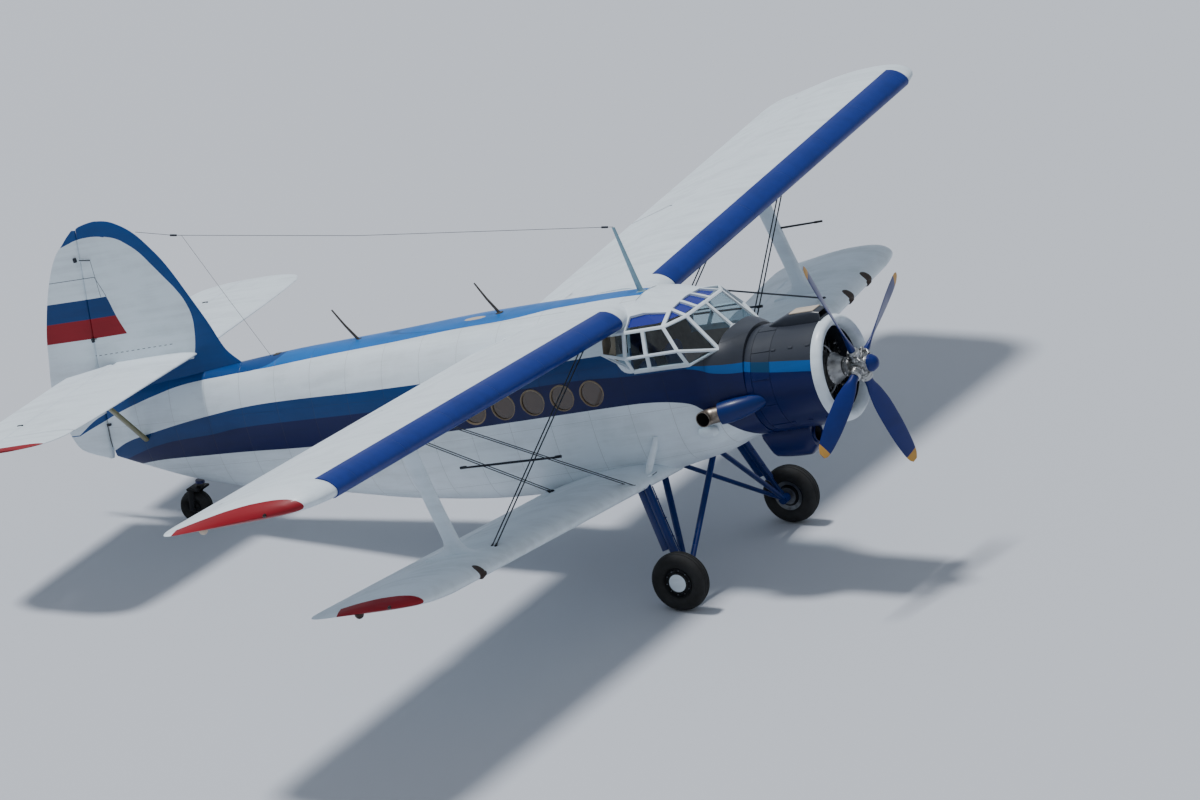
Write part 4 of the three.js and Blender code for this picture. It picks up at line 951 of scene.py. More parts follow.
@dataclass(frozen=True)
class Fuselage:
    """The painted skin with its cabin, windows, door hole and cockpit."""

    wall: float = 40.0
    window_x: tuple[float, ...] = (-991, -1453, -1915, -2377, -2839)
    window_z: float = 388.0
    window_radius: float = 178.0
    last_left: float = -2572.0  # the cargo door takes the left side's last window
    # The cabin and the cockpit, each from back to front and above its floor's height.
    rooms: Table = ((-4340, -750, -800), (-720, 900, -420))
    door: Point = (-4232, -2772, -720, 800)

    def holes(self) -> list[tuple[float, Side]]:
        """Every round cabin window by place and side."""
        right = [(x, Side.RIGHT) for x in self.window_x]
        return right + [(x, Side.LEFT) for x in self.window_x if x > self.last_left]

    def hole(self, x: float, side: Side, inner: float, mark: int) -> Draft:
        """A round bar to cut a window with, from a distance off the middle plane out through the wall."""
        return Draft().bar((x, side.value * inner, self.window_z), (x, side.value * 1000, self.window_z),
                           self.window_radius, sides=48, mark=mark)

    def inside(self) -> list[Union[Draft, Mesh]]:
        """What is hollowed out of the skin.

        Returns:
            The cabin and the cockpit above their floors, and the way between them.
        """
        found = []
        for x0, x1, z in self.rooms:
            below = box(x0 - 10, x1 + 10, -1000, 1000, -1300, z)
            found.append(cut_mesh(HULL.tube(x0, x1, self.wall, 1).mesh("room"), [below]))
        return [*found, box(-760, -700, -320, 320, -420, 900)]

    def cutters(self) -> list[Draft]:
        """What else is cut away.

        Returns:
            The space above the canopy's sill, the windows, the door hole and the rudder's space.
        """
        sill = [(-280, 562), (548, 547), (640, 560), (905, 646), (905, 1600), (-280, 1600)]
        found = [Draft().loft([[(x, y, z) for x, z in sill] for y in (-1100, 1100)])]
        found += [self.hole(x, side, 600, 1) for x, side in self.holes()]
        found += [box(-690, -300, -1000, -600, 850, 1080), box(-690, -300, 600, 1000, 850, 1080)]
        x0, x1, z0, z1 = self.door
        found.append(box(x0, x1, 500, 1000, z0, z1))
        foot, head = [(rudder_line(z) + 72, z) for z in (-400, 1500)]
        plane = [(-9700, -400), foot, head, (-9700, 1500)]
        found.append(Draft().loft([[(x, y, z) for x, z in plane] for y in (-400, 400)], 1))
        return found

    def build(self) -> None:
        """Makes the skin, the windows and the door."""
        mesh = cut_mesh(HULL.tube(1195, -9165).mesh("hull"), [*self.inside(), *self.cutters()])
        solids = ("forward_fuselage", "cabin_roof", "cabin_belly", "cabin_wall_right", "cabin_wall_left",
                  "tail_cone")
        piece("fuselage_skin", mesh, (WHITE_SIDE, LINING), stands_for=solids)
        self.build_windows()
        self.build_door()

    def build_windows(self) -> None:
        """Round cabin windows, each with a raised rim and a slightly dished pane."""
        r, rim_coat = self.window_radius, Enamel("brown_enamel_on_window_rims", Paint.RIM_BROWN)
        for i, (x, side) in enumerate(self.holes()):
            ring = HULL.ring(x)
            k = np.argmin(np.abs(ring[:, 2] - self.window_z) + (ring[:, 1] * side.value < 0) * 9e3)
            turn = placed((x, side.value * (abs(ring[k, 1]) - 14), self.window_z), side.value * 90, "Z")
            rim = [(-26, r - 12), (12, r - 12), (17, r - 7), (17, r + 5), (12, r + 11), (-6, r + 11)]
            ring = Draft().turned(rim, 56, 0, turn, True)
            piece(f"window_rim_{i + 1}", ring, (rim_coat,))
            dish = [(-4, 0.5), (-3, r * 0.6), (-6, r - 10), (-11, r - 10), (-8, r * 0.6), (-9, 0.5)]
            pane = Draft().turned(dish, 56, turn=turn)
            piece(f"window_pane_{i + 1}", pane, (CABIN_PANE,))

    def build_door(self) -> None:
        """The cargo door on the left, hinged along its top, with its own round window."""
        x0, x1, z0, z1 = self.door
        shell = cut_mesh(HULL.tube(x0 - 200, x1 + 200).mesh("door"),
                         [box(x0 + 8, x1 - 8, 450, 1000, z0 + 8, z1 - 20, 0)], "INTERSECT")
        room = HULL.tube(x0 - 300, x1 + 300, 36, 1)
        shell = cut_mesh(shell, [room, self.hole(-3301, Side.LEFT, 500, 0)])
        piece("cargo_door_skin", shell, (WHITE_SIDE, LINING), "cargo_door", ("cargo_door",))


@dataclass(frozen=True)
class Airfoil:
    """A wing section: share of the chord from the leading edge, upper and lower height as shares of it."""

    rows: Table = ((0, 0.004, 0.004), (0.0125, 0.032, -0.019), (0.05, 0.064, -0.03), (0.11, 0.087, -0.036),
                   (0.22, 0.102, -0.039), (0.34, 0.104, -0.037), (0.5, 0.092, -0.032), (0.72, 0.057, -0.02),
                   (1, 0.0025, -0.0025))

    def heights(self, shares: np.ndarray) -> np.ndarray:
        """Upper and lower heights at shares of the chord, round at the leading edge."""
        return eased([(math.sqrt(f), upper, lower) for f, upper, lower in self.rows], np.sqrt(shares))

    def loop(self, chord: float, first: float, last: float, thin: float) -> np.ndarray:
        """The section between two shares of the chord.

        Args:
            chord: The chord.
            first: The first share.
            last: The last share.
            thin: Its thickness as a share of the full one.

        Returns:
            A closed loop of (x back from the leading edge, z).
        """
        count = 26
        t = (1 - np.cos(np.linspace(0, np.pi, count))) / 2 if first == 0 else np.linspace(0, 1, count)
        shares = first + (last - first) * t
        both = self.heights(shares)
        top = np.stack([shares, both[:, 0] * thin], 1)
        low = np.stack([shares, both[:, 1] * thin], 1)[::-1]
        if first == 0:
            low = low[:-1]
        return np.concatenate([top, low]) * chord


AIRFOIL = Airfoil()


@dataclass(frozen=True)
class Wing:
    """One wing of one plane, drawn for the left side and mirrored for the right."""

    name: str
    side: Side
    root: tuple[float, float]
    dihedral: float  # as a slope
    incidence: float  # in degrees
    plan: Table
    surfaces: tuple[tuple[str, float, float], ...]
    cloth: Finish
    hinge: float = 0.72  # the surfaces' hinge line, as a share of the chord
    rib: float = 300.0
    bay_gap: float = 56.0
    end_gap: float = 9.0

    def matrix(self) -> Matrix:
        """The wing's place in the level frame."""
        lift = math.degrees(math.atan(self.dihedral))
        return placed((self.root[0], 0, self.root[1]), lift, "X") @ placed((0, 0, 0), -self.incidence)

    def at(self, x: float, y: float, z: float) -> Vector:
        """A wing point in the level frame, on the left side."""
        return self.matrix() @ Vector((x, y, z))

    def stations(self, y0: float, y1: float) -> list[float]:
        """Places along the span: ribs, quarter bays and the tip's closer steps.

        Args:
            y0: The first place.
            y1: The last place.

        Returns:
            The places in order.
        """
        places = {y0, y1, *[row[0] for row in self.plan if y0 < row[0] < y1]}
        y = math.ceil(y0 / self.rib) * self.rib
        while y < y1:
            places |= {max(y0, y), *[min(y1, y + self.rib * f) for f in (0.25, 0.5, 0.75)]}
            y += self.rib
        return sorted(places | set(np.linspace(min(self.plan[1][0], y1), y1, 14)))

    def bay(self, y: float) -> float:
        """How far into its bay between two ribs a place is, from 0 at a rib to 1 in the middle."""
        return math.sin(math.pi * (y % self.rib) / self.rib) ** 0.6

    def section(self, y: float, first: float, last: float, sag: float = 3.0) -> np.ndarray:
        """The section at one place along the span.

        Args:
            y: The place.
            first: The share of the chord that it starts from.
            last: The share that it ends at.
            sag: How far the cloth sags between two ribs.

        Returns:
            The closed loop's points.
        """
        back, chord, thin = eased(self.plan, [y])[0]
        loop = AIRFOIL.loop(chord, first, last, thin)
        middle = AIRFOIL.heights(loop[:, 0] / chord).mean(1) * chord
        share = np.clip(loop[:, 0] / chord, 0, 1)
        bite = sag * self.bay(y) * np.clip((share - 0.12) * 8, 0, 1) * np.clip((1 - share) * 6, 0, 1)
        z = loop[:, 1] - np.sign(loop[:, 1] - middle) * bite
        return np.stack([-(back + loop[:, 0]), np.full(len(loop), y), z], 1)

    def box_part(self) -> Draft:
        """The fixed part, with the surfaces' bay open behind the rear spar and full chord elsewhere.

        Returns:
            The draft.
        """
        root, straight, tip = self.plan[0][0], self.plan[1][0], self.plan[-1][0]
        spans = sorted((a, b) for _, a, b in self.surfaces)
        y0, y1 = spans[0][0], spans[-1][1]
        draft, turn, spar = Draft(), self.matrix(), self.hinge - self.bay_gap / self.plan[0][2]
        draft.loft([self.section(y, 0, spar) for y in self.stations(root, y1)], turn=turn)
        draft.loft([self.section(y, 0, 1, 3 * (y <= straight)) for y in self.stations(y1, tip)], turn=turn)
        return draft.loft([self.section(y, 0.5, 1) for y in self.stations(root, y0)], turn=turn)

    def surface(self, y0: float, y1: float) -> Draft:
        """A flap or aileron: a round nose about its hinge and straight sides to the trailing edge.

        Args:
            y0: Its inner end.
            y1: Its outer end.

        Returns:
            The draft.
        """
        rings, shares = [], (0.15, 0.3, 0.5, 0.7, 0.9, 1.0)
        for y in self.stations(y0 + self.end_gap, y1 - self.end_gap):
            chord = eased(self.plan, [min(y, self.plan[1][0])])[0][1]
            radius, edge = 0.0385 * chord, 0.0025 * chord
            hx, hz = -self.hinge * chord, 0.0185 * chord
            sag = 2.2 * self.bay(y)
            ring = [(hx + radius * math.cos(t), hz + radius * math.sin(t))
                    for t in np.linspace(math.radians(-95), math.radians(95), 13)]
            for way, run in ((1, shares), (-1, shares[::-1])):
                ring += [(hx - (chord + hx) * f, hz + way * (radius + (edge - way * hz - radius) * f
                                                             - sag * math.sin(3.14 * f))) for f in run]
            rings.append([(x, y, z) for x, z in ring])
        return Draft().loft(rings, turn=self.matrix())

    def build(self) -> None:
        """Makes the fixed part and the hinged surfaces."""
        word = self.side.word
        piece(f"{self.name}_skin_{word}", self.box_part().sided(self.side), (self.cloth,),
              stands_for=(f"{self.name}_{word}",))
        for kind, y0, y1 in self.surfaces:
            body = f"{kind}_{word}"
            draft = self.surface(y0, y1).sided(self.side)
            piece(f"{kind}_skin_{word}", draft, (self.cloth,), body, (body,))


# Each row is place along the span, leading edge behind the root's, chord and share of the full thickness.
UPPER_PLAN = ((300, 0, 2450, 1), (8400, 0, 2450, 1), (8700, 60, 2370, 0.92), (8880, 180, 2190, 0.76),
              (9000, 380, 1890, 0.56), (9065, 650, 1420, 0.32), (9088, 850, 800, 0.12))
LOWER_PLAN = ((300, 0, 2000, 1), (6400, 0, 2000, 1), (6750, 60, 1930, 0.92), (6930, 180, 1760, 0.76),
              (7040, 340, 1480, 0.56), (7100, 540, 1060, 0.32), (7118, 700, 600, 0.12))


def upper_wing(side: Side) -> Wing:
    """The upper wing on one side."""
    return Wing("upper_wing", side, UPPER_ROOT, 0.0563, 3.0, UPPER_PLAN,
                (("upper_flap", 900, 4200), ("aileron", 4214, 8300)), CLOTH_UPPER)


def lower_wing(side: Side) -> Wing:
    """The lower wing on one side."""
    return Wing("lower_wing", side, LOWER_ROOT, 0.0928, 1.0, LOWER_PLAN, (("lower_flap", 900, 6250),),
                CLOTH_LOWER)


@dataclass(frozen=True)
class Slat:
    """The blue slat along an upper wing's leading edge."""

    side: Side
    first: float = 790.0
    last: float = 8400.0

    def ring(self, y: float, thick: float, lift: float) -> np.ndarray:
        """A thin shell's section round the leading edge at one place along the span.

        Args:
            y: The place.
            thick: The shell's thickness.
            lift: Its distance from the wing's skin.

        Returns:
            The section's points.
        """
        shares = np.linspace(0, 1, 15)
        top = [(f, AIRFOIL.heights(np.array([f]))[0][0]) for f in 0.11 * (1 - shares) ** 1.6]
        low = [(f, AIRFOIL.heights(np.array([f]))[0][1]) for f in 0.04 * shares[1:] ** 1.6]
        line = np.array(top + low) * UPPER_PLAN[0][2]
        tangent = np.gradient(line, axis=0)
        normal = np.stack([-tangent[:, 1], tangent[:, 0]], 1)
        normal /= np.linalg.norm(normal, axis=1)[:, None]
        normal *= np.where(((line - (400, 60)) * normal).sum(1) > 0, 1, -1)[:, None]
        depth = thick * np.clip(np.sin(np.pi * np.linspace(0.03, 0.97, len(line))) * 2.5, 0.3, 1)[:, None]
        loop = np.concatenate([line + normal * (lift + depth), (line + normal * lift)[::-1]])
        return np.stack([-loop[:, 0], np.full(len(loop), y), loop[:, 1]], 1)

    def build(self) -> None:
        """Makes the slat a little way off the leading edge, and the white fairing at its root."""
        turn, word = upper_wing(self.side).matrix(), self.side.word
        slat = Draft().loft([self.ring(y, 14, 2) for y in np.linspace(self.first, self.last, 40)], turn=turn)
        piece(f"slat_skin_{word}", slat.sided(self.side), (SLAT,),
              stands_for=(f"slat_{word}",))
        steps = [(y, 24 * math.sin(math.pi / 2 * (y - 545) / 185) ** 0.7) for y in np.linspace(550, 730, 12)]
        steps += [(760, 23), (776, 18), (784, 8)]
        root = Draft().loft([self.ring(y, max(thick, 1.5), -1) for y, thick in steps], turn=turn)
        piece(f"slat_root_{word}", root.sided(self.side), (CLOTH_UPPER,))


def faired(rows: Table, sides: int = 36) -> Draft:
    """A faired strut with a streamlined section, its chord along x.

    Args:
        rows: Its middle line and size, as (x, y, z, chord, thickness).
        sides: How many sides it has.

    Returns:
        The draft.
    """
    steps = np.linspace(0, 1, 6 * len(rows))
    table = [(i / (len(rows) - 1), *row) for i, row in enumerate(rows)]
    t = np.linspace(0, 1, sides // 2 + 1)
    share = t * t * (3 - 2 * t)
    form = 1.352 * np.sqrt(share) * (1 - share) ** 0.9
    loop = np.concatenate([np.stack([0.5 - share, form], 1), np.stack([0.5 - share, -form], 1)[-2:0:-1]])
    rings = []
    for x, y, z, chord, thick in eased(table, steps):
        rings.append([(x + u * chord, y + v * thick, z) for u, v in loop])
    return Draft().loft(rings)


def struck(rows: Table) -> Draft:
    """A faired strut whose sections stand square to its run.

    Args:
        rows: Its middle line and size, as (x, y, z, chord, thickness).

    Returns:
        The draft.
    """
    table = [(i, *row) for i, row in enumerate(rows)]
    found = eased(table, np.linspace(0, len(rows) - 1, 5 * len(rows)))
    tangent = np.gradient(found[:, :3], axis=0)
    tangent /= np.linalg.norm(tangent, axis=1)[:, None]
    c, s = circle(28)
    rings = []
    for p, t, (chord, thick) in zip(found[:, :3], tangent, found[:, 3:]):
        u = np.array([1.0, 0, 0]) - t[0] * t
        u /= np.linalg.norm(u)
        v = np.cross(t, u)
        taper = 1 - 0.32 * (c < 0) * c * c
        rings.append(p + chord / 2 * c[:, None] * u + thick / 2 * (s * taper)[:, None] * v)
    return Draft().loft(rings)


@dataclass(frozen=True)
class Bracing:
    """The interplane strut and the wire pairs on one side."""

    side: Side
    # Each row is x, z, chord and thickness, from the upper wing down to the lower wing's fairing.
    strut: Table = ((-1265, 1430, 360, 96), (-1250, 1300, 330, 94), (-1228, 1130, 262, 86),
                    (-1110, 476, 232, 80), (-1005, -60, 244, 84), (-985, -190, 330, 90),
                    (-982, -265, 600, 96), (-985, -325, 960, 100), (-985, -430, 1010, 100))
    strut_y: float = STRUT_Y
    # Each pair of wires runs between two points.
    flying_front: Table = ((-345, 1400, -850), (-700, 5040, 1440))
    flying_rear: Table = ((-1880, 1010, -850), (-1420, 5030, 1420))
    landing: Table = ((-560, 5040, -380), (-690, 1010, 1230))
    apart: float = 30.0  # half the distance between the two wires of a pair
    spreader_y: float = 3010.0

    def wire(self, ends: Table) -> Draft:
        """A pair of flat wires side by side with fork ends on a common pin.

        Args:
            ends: The two points that they run between.

        Returns:
            The draft.
        """
        draft = Draft()
        a, b = np.array(ends, float)
        run = (b - a) / np.linalg.norm(b - a)
        pin = np.array([self.apart + 22, 0, 0])
        for off in (np.array([-self.apart, 0, 0]), np.array([self.apart, 0, 0])):
            draft.tube([a + off, (a + b) / 2 + off, b + off], 11.0, 10, flat=0.55)
            for end, way in ((a, run), (b, -run)):
                draft.bar(end + off, end + off + way * 150, 15, 13, 12)
                draft.bar(end + off + way * 150, end + off + way * 210, 19, 11, 12)
        for end, way in ((a, run), (b, -run)):
            draft.bar(end + way * 40 - pin, end + way * 40 + pin, 13, 13, 12)
        return draft

    def build(self) -> None:
        """Makes the strut, its fairing, the wires and the spreader bar."""
        word, y = self.side.word, self.spreader_y
        strut = faired([(x, self.strut_y, z, chord, thick) for x, z, chord, thick in self.strut], 44)
        piece(f"strut_fairing_{word}", strut.sided(self.side), (WHITE,),
              stands_for=(f"interplane_strut_{word}",))
        for name, ends, solid in (("flying_wires_front", self.flying_front, (f"flying_stay_front_{word}",)),
                                  ("landing_wires", self.landing, (f"landing_stay_{word}",)),
                                  ("flying_wires_rear", self.flying_rear, ())):
            pair = self.wire(ends).sided(self.side)
            piece(f"{name}_{word}", pair, (WIRE,), stands_for=solid)
        bar = Draft().tube([(-420, y, 196), (-1150, y, 219), (-1900, y, 240)], [14, 17, 14], 12)
        for x, z in ((-440, 197), (-1890, 240)):
            bar.bar((x - 45, y - 16, z), (x + 45, y - 16, z), 20, 20, 14)
        piece(f"wire_spreader_{word}", bar.sided(self.side), (WIRE,))


@dataclass(frozen=True)
class MainGear:
    """One main leg: a faired shock strut, a vee of tubes and the wheel."""

    side: Side
    radius: float = 400.0
    width: float = 260.0
    rim: float = 205.0

    def leg(self) -> Draft:
        """The shock strut: a round cylinder with a fairing behind it, its piston, brake line and clamps.

        Returns:
            The draft.
        """
        draft = struck(((-352, 1258, -838, 114, 114), (-242, 1342, -1269, 114, 114),
                        (-131, 1425, -1700, 114, 114)))
        draft.joined(struck(((-131, 1425, -1700, 120, 120), (-116, 1437, -1759, 120, 120),
                             (-112, 1440, -1772, 96, 96), (-98, 1448, -1800, 74, 74))))
        draft.bar((-106, 1443, -1785), (-22, 1497, -2067), 33, 33, 28)
        draft.bar((-46, 1482, -1990), (-36, 1488, -2020), 42)
        draft.joined(struck(((-436, 1258, -838, 160, 60), (-321, 1342, -1275, 168, 63),
                             (-206, 1427, -1712, 176, 66))))
        draft.tube([(-300, 1200, -890), (-190, 1290, -1320), (-78, 1372, -1720), (6, 1440, -2040)], 9, 8)
        for f in (0.2, 0.5, 0.8):
            p = np.array([-300, 1200, -890]) * (1 - f) + np.array([-78, 1372, -1720]) * f
            draft.bar(p - (14, 0, 0), p + (30, 40, 0), 12, 12, 8)
        return draft

    def build(self) -> None:
        """Makes the leg, the vee, the axle and the wheel."""
        word, body = self.side.word, f"main_wheel_{self.side.word}"
        piece(f"shock_leg_{word}", self.leg().sided(self.side), (GEAR,),
              stands_for=(f"shock_strut_{word}",))
        upper = struck(((-352, 1262, -868, 106, 88), (-385, 1085, -752, 104, 94), (-262, 880, -390, 92, 92),
                        (-248, 850, -330, 78, 78)))
        upper.block((-520, 1010, -768), (-280, 1170, -742), 10)
        piece(f"shock_fairing_{word}", upper.sided(self.side), (WHITE,))
        z = AXLE[2]
        vee = struck(((60, 60, -880, 98, 52), (35, 750, -1478, 96, 54), (10, 1440, z + 10, 84, 52)))
        vee.joined(struck(((-700, 170, -1000, 98, 52), (-357, 805, -1538, 96, 54),
                           (-14, 1440, z + 10, 84, 52))))
        vee.bar((0, 1405, z), (0, 1530, z), 62, 62, 32).bar((0, 1500, z), (0, 1700, z), 35, 35, 24)
        vee.bar((0, 1392, z), (0, 1408, z), 40, 40, 24)
        for a, b in zip(*circle(8)):
            vee.bar((50 * a, 1400, z + 50 * b), (50 * a, 1410, z + 50 * b), 7, 7, 6)
        for x, y, height in ((60, 60, -880), (-700, 170, -1000)):
            vee.bar((x - 50, y, height), (x + 50, y, height), 30, 30, 20)
        piece(f"gear_tubes_{word}", vee.sided(self.side), (GEAR,),
              stands_for=(f"gear_vee_{word}",))
        turn = placed(AXLE, 90, "Z")
        piece(f"tyre_{word}", tyre(self.radius, self.width, self.rim, turn).sided(self.side), (RUBBER,), body,
              (f"main_tyre_{word}",))
        piece(f"wheel_{word}", self.wheel(turn).sided(self.side), (WHITE, DRUM, BLACK_AND_RIM_SHADE), body,
              (f"main_hub_{word}",))

    def wheel(self, turn: Matrix) -> Draft:
        """The wheel: a dished disc with a lipped rim, a ring of bolts, a cap and a brake drum.

        Args:
            turn: The axle's place, with its run along x.

        Returns:
            The draft.
        """
        r = self.rim
        profile = [(104, 0.5), (106, 60), (100, 108), (97, 122), (92, 138), (84, 148), (72, 152), (70, 180),
                   (84, 190), (100, 196), (104, r), (84, r), (60, r - 8), (-60, r - 8), (-84, r), (-104, r),
                   (-100, r - 12), (-84, 150), (-84, 130), (-116, 118), (-116, 40), (40, 38), (40, 0.5)]
        draft = Draft().turned(profile, 72, turn=turn)
        # Only the cap is white: the rim round it is painted black as painted shade, and the drum on the inner
        # side is bare metal.
        for i in range(len(draft.marks)):
            x, radius = profile[i % (len(profile) - 1)]
            draft.marks[i] = 0 if x > 60 and radius < 120 else 2 if x > -90 and radius > 119 else 1
        for c, s in zip(*circle(10)):
            draft.joined(Draft().bar((68, 168 * c, 168 * s), (80, 168 * c, 168 * s), 9, 9, 6, 1), turn)
            draft.joined(Draft().bar((84, 124 * c, 124 * s), (101, 124 * c, 124 * s), 5, 5, 6, 1), turn)
        draft.joined(Draft().tube([(84, 0, 176), (128, 0, 178)], 5, 8, 1), turn)
        return draft


def tyre(radius: float, width: float, rim: float, turn: Matrix, sides: int = 96) -> Draft:
    """A low-pressure tyre: a round crown with three grooves, soft shoulders and beads tucked on the rim.

    Args:
        radius: Its radius.
        width: Its width.
        rim: The wheel's radius.
        turn: The axle's place, with its run along x.
        sides: How many sides it has.

    Returns:
        The draft.
    """
    half, groove = width / 2, 7.0
    profile = [(-half * 0.66, rim - 3), (-half * 0.8, rim + 12), (-half * 0.97, rim + (radius - rim) * 0.3),
               (-half, rim + (radius - rim) * 0.5), (-half * 0.93, rim + (radius - rim) * 0.72),
               (-half * 0.76, radius - 26), (-half * 0.55, radius - 11)]
    for x in (-half * 0.38, 0, half * 0.38):
        top = radius - 9 * abs(x) / (half * 0.38)
        profile += [(x - 9, top), (x - 6, top - groove), (x + 6, top - groove), (x + 9, top)]
    profile += [(-x, r) for x, r in profile[6::-1]]
    return Draft().turned(profile, sides, turn=turn, loop=True)


@dataclass(frozen=True)
class Nose:
    """The cowl, its flaps, ring and scoops, and the exhaust."""

    radius: float = 712.0
    cooler_z: float = -836.0

    def cowl(self) -> Draft:
        """The cowl as a thin shell: a firewall lip, a ring of flaps and the front panel.

        Returns:
            The draft.
        """
        r = self.radius
        draft = Draft()
        for loop in ([(1196, 702), (1230, r - 1), (1302, r), (1302, r - 14), (1230, r - 15), (1196, 688)],
                     [(1308, r - 12), (1308, r + 1), (1585, r - 1), (1585, r - 13)],
                     [(1590, r - 1), (1600, r), (2212, r), (2212, r - 16), (1590, r - 16)]):
            draft.turned(loop, 96, loop=True)
        for k in range(12):
            turn = placed((0, 0, 0), 30 * k + 15, "X")
            draft.joined(Draft().block((1312, -7, r - 2), (1580, 7, r + 7), 3), turn)
        for k in range(4):
            turn = placed((0, 0, 0), 90 * k + 45, "X")
            for x in (1640, 1900, 2160):
                draft.joined(Draft().block((x - 34, -16, r - 4), (x + 34, 16, r + 9), 5), turn)
        return draft

    def build(self) -> None:
        """Makes the cowl, the intake scoop with its hollow mouth, the ring, the cooler and the exhaust."""
        # The cowl's coat holds painted shade over its flaps and inside the cowl.
        piece("cowl_panels", self.cowl(), (Enamel("cowl_enamel_and_painted_shade", Paint.NAVY, Livery.FUSELAGE),),
              stands_for=("engine_cowl",))
        rows = ((1420, 640, 722, 60), (1560, 640, 775, 110), (1760, 640, 838, 146), (2120, 640, 852, 150),
                (2235, 640, 826, 138))
        within = Draft().turned([(1400, 0.5), (1400, 706), (2300, 706), (2300, 0.5)], 96)
        scoop = cut_mesh(scooped(rows, 4.5).mesh("scoop"), [box(2080, 2400, -112, 112, 736, 812, 0), within])
        piece("intake_scoop", scoop, (Enamel("black_enamel_on_scoop", Paint.BLACK_AND_COWL_SHADE),))
        pad = Draft().block((1790, -116, 840), (2160, 116, 856), 6)
        piece("scoop_tan_panel", pad, (Enamel("buff_enamel_on_scoop_lid", Paint.BUFF),))
        ring = [(2216, 712), (2245, 712), (2275, 708), (2302, 701), (2322, 692), (2340, 676), (2350, 655),
                (2350, 634), (2342, 612), (2328, 595), (2310, 580), (2286, 569), (2260, 563), (2216, 560)]
        piece("nose_ring_lip", Draft().turned(ring, 128, loop=True), (Enamel("white_enamel_on_nose_ring"),),
              stands_for=("nose_ring",))
        self.build_cooler()
        self.build_exhaust()

    def build_cooler(self) -> None:
        """The oil cooler's duct under the cowl, with a round mouth and a finned core."""
        z, place = self.cooler_z, placed((0, 0, self.cooler_z))
        rows = ((890, -850, -600, 130), (1010, -1065, -600, 165), (1500, -1105, -600, 170),
                (1640, -1000, -600, 160))
        bore = Draft().turned([(1420, 0.5), (1420, 96), (1800, 112), (1800, 0.5)], 48, 1, place)
        duct = cut_mesh(scooped(rows, 2.6).mesh("duct"), [bore])
        piece("oil_cooler_duct", duct, (NAVY, FINS), stands_for=("oil_cooler",))
        lip = [(1618, 108), (1662, 106), (1668, 112), (1660, 124), (1618, 130)]
        piece("oil_cooler_lip", Draft().turned(lip, 56, 0, place, True), (NAVY,))
        core = Draft()
        for off in range(-84, 85, 14):
            half = math.sqrt(94 ** 2 - off ** 2)
            core.block((1430, -half, z + off - 2), (1480, half, z + off + 2), 1)
            core.block((1440, off - 2, z - half), (1484, off + 2, z + half), 1)
        piece("oil_cooler_core", core, (FINS,))

    def build_exhaust(self) -> None:
        """The exhaust stub on the right, in its blue fairing with a bare end."""
        fairing = Draft().tube([(1400, -640, -95), (1250, -745, -105), (1100, -838, -114), (970, -892, -121),
                                (850, -930, -126)], [72, 122, 146, 152, 144], 40)
        piece("exhaust_fairing", fairing, (Enamel("blue_enamel_on_exhaust_fairing", Paint.GEAR_BLUE),),
              stands_for=("exhaust",))
        bend = [(870, -932, -126), (825, -942, -128), (780, -950, -129), (722, -965, -130),
                (680, -1007, -130), (665, -1062, -129), (664, -1085, -128)]
        stub = cut_mesh(Draft().tube(bend, 106, 48, 0).mesh("stub"),
                        [Draft().tube([*bend[2:6], (663, -1120, -128)], 95, 40, 1)])
        piece("exhaust_stub", stub, (SCORCHED, Enamel("soot_in_exhaust", Paint.SATIN_BLACK, roughness=0.8)))


def scooped(rows: Table, power: float) -> Draft:
    """A duct along the body.

    Args:
        rows: Its sections as (x, low, high, half width).
        power: How boxy they are: 2 is an ellipse.

    Returns:
        The draft.
    """
    c, s = circle(64)
    e = 2 / power
    rings = []
    for x in np.linspace(rows[0][0], rows[-1][0], 26):
        z0, z1, half = eased(rows, [x])[0]
        y = half * np.sign(c) * np.abs(c) ** e
        z = (z0 + z1) / 2 + (z1 - z0) / 2 * np.sign(s) * np.abs(s) ** e
        rings.append(np.stack([np.full(len(c), x), y, z], 1))
    return Draft().loft(rings)


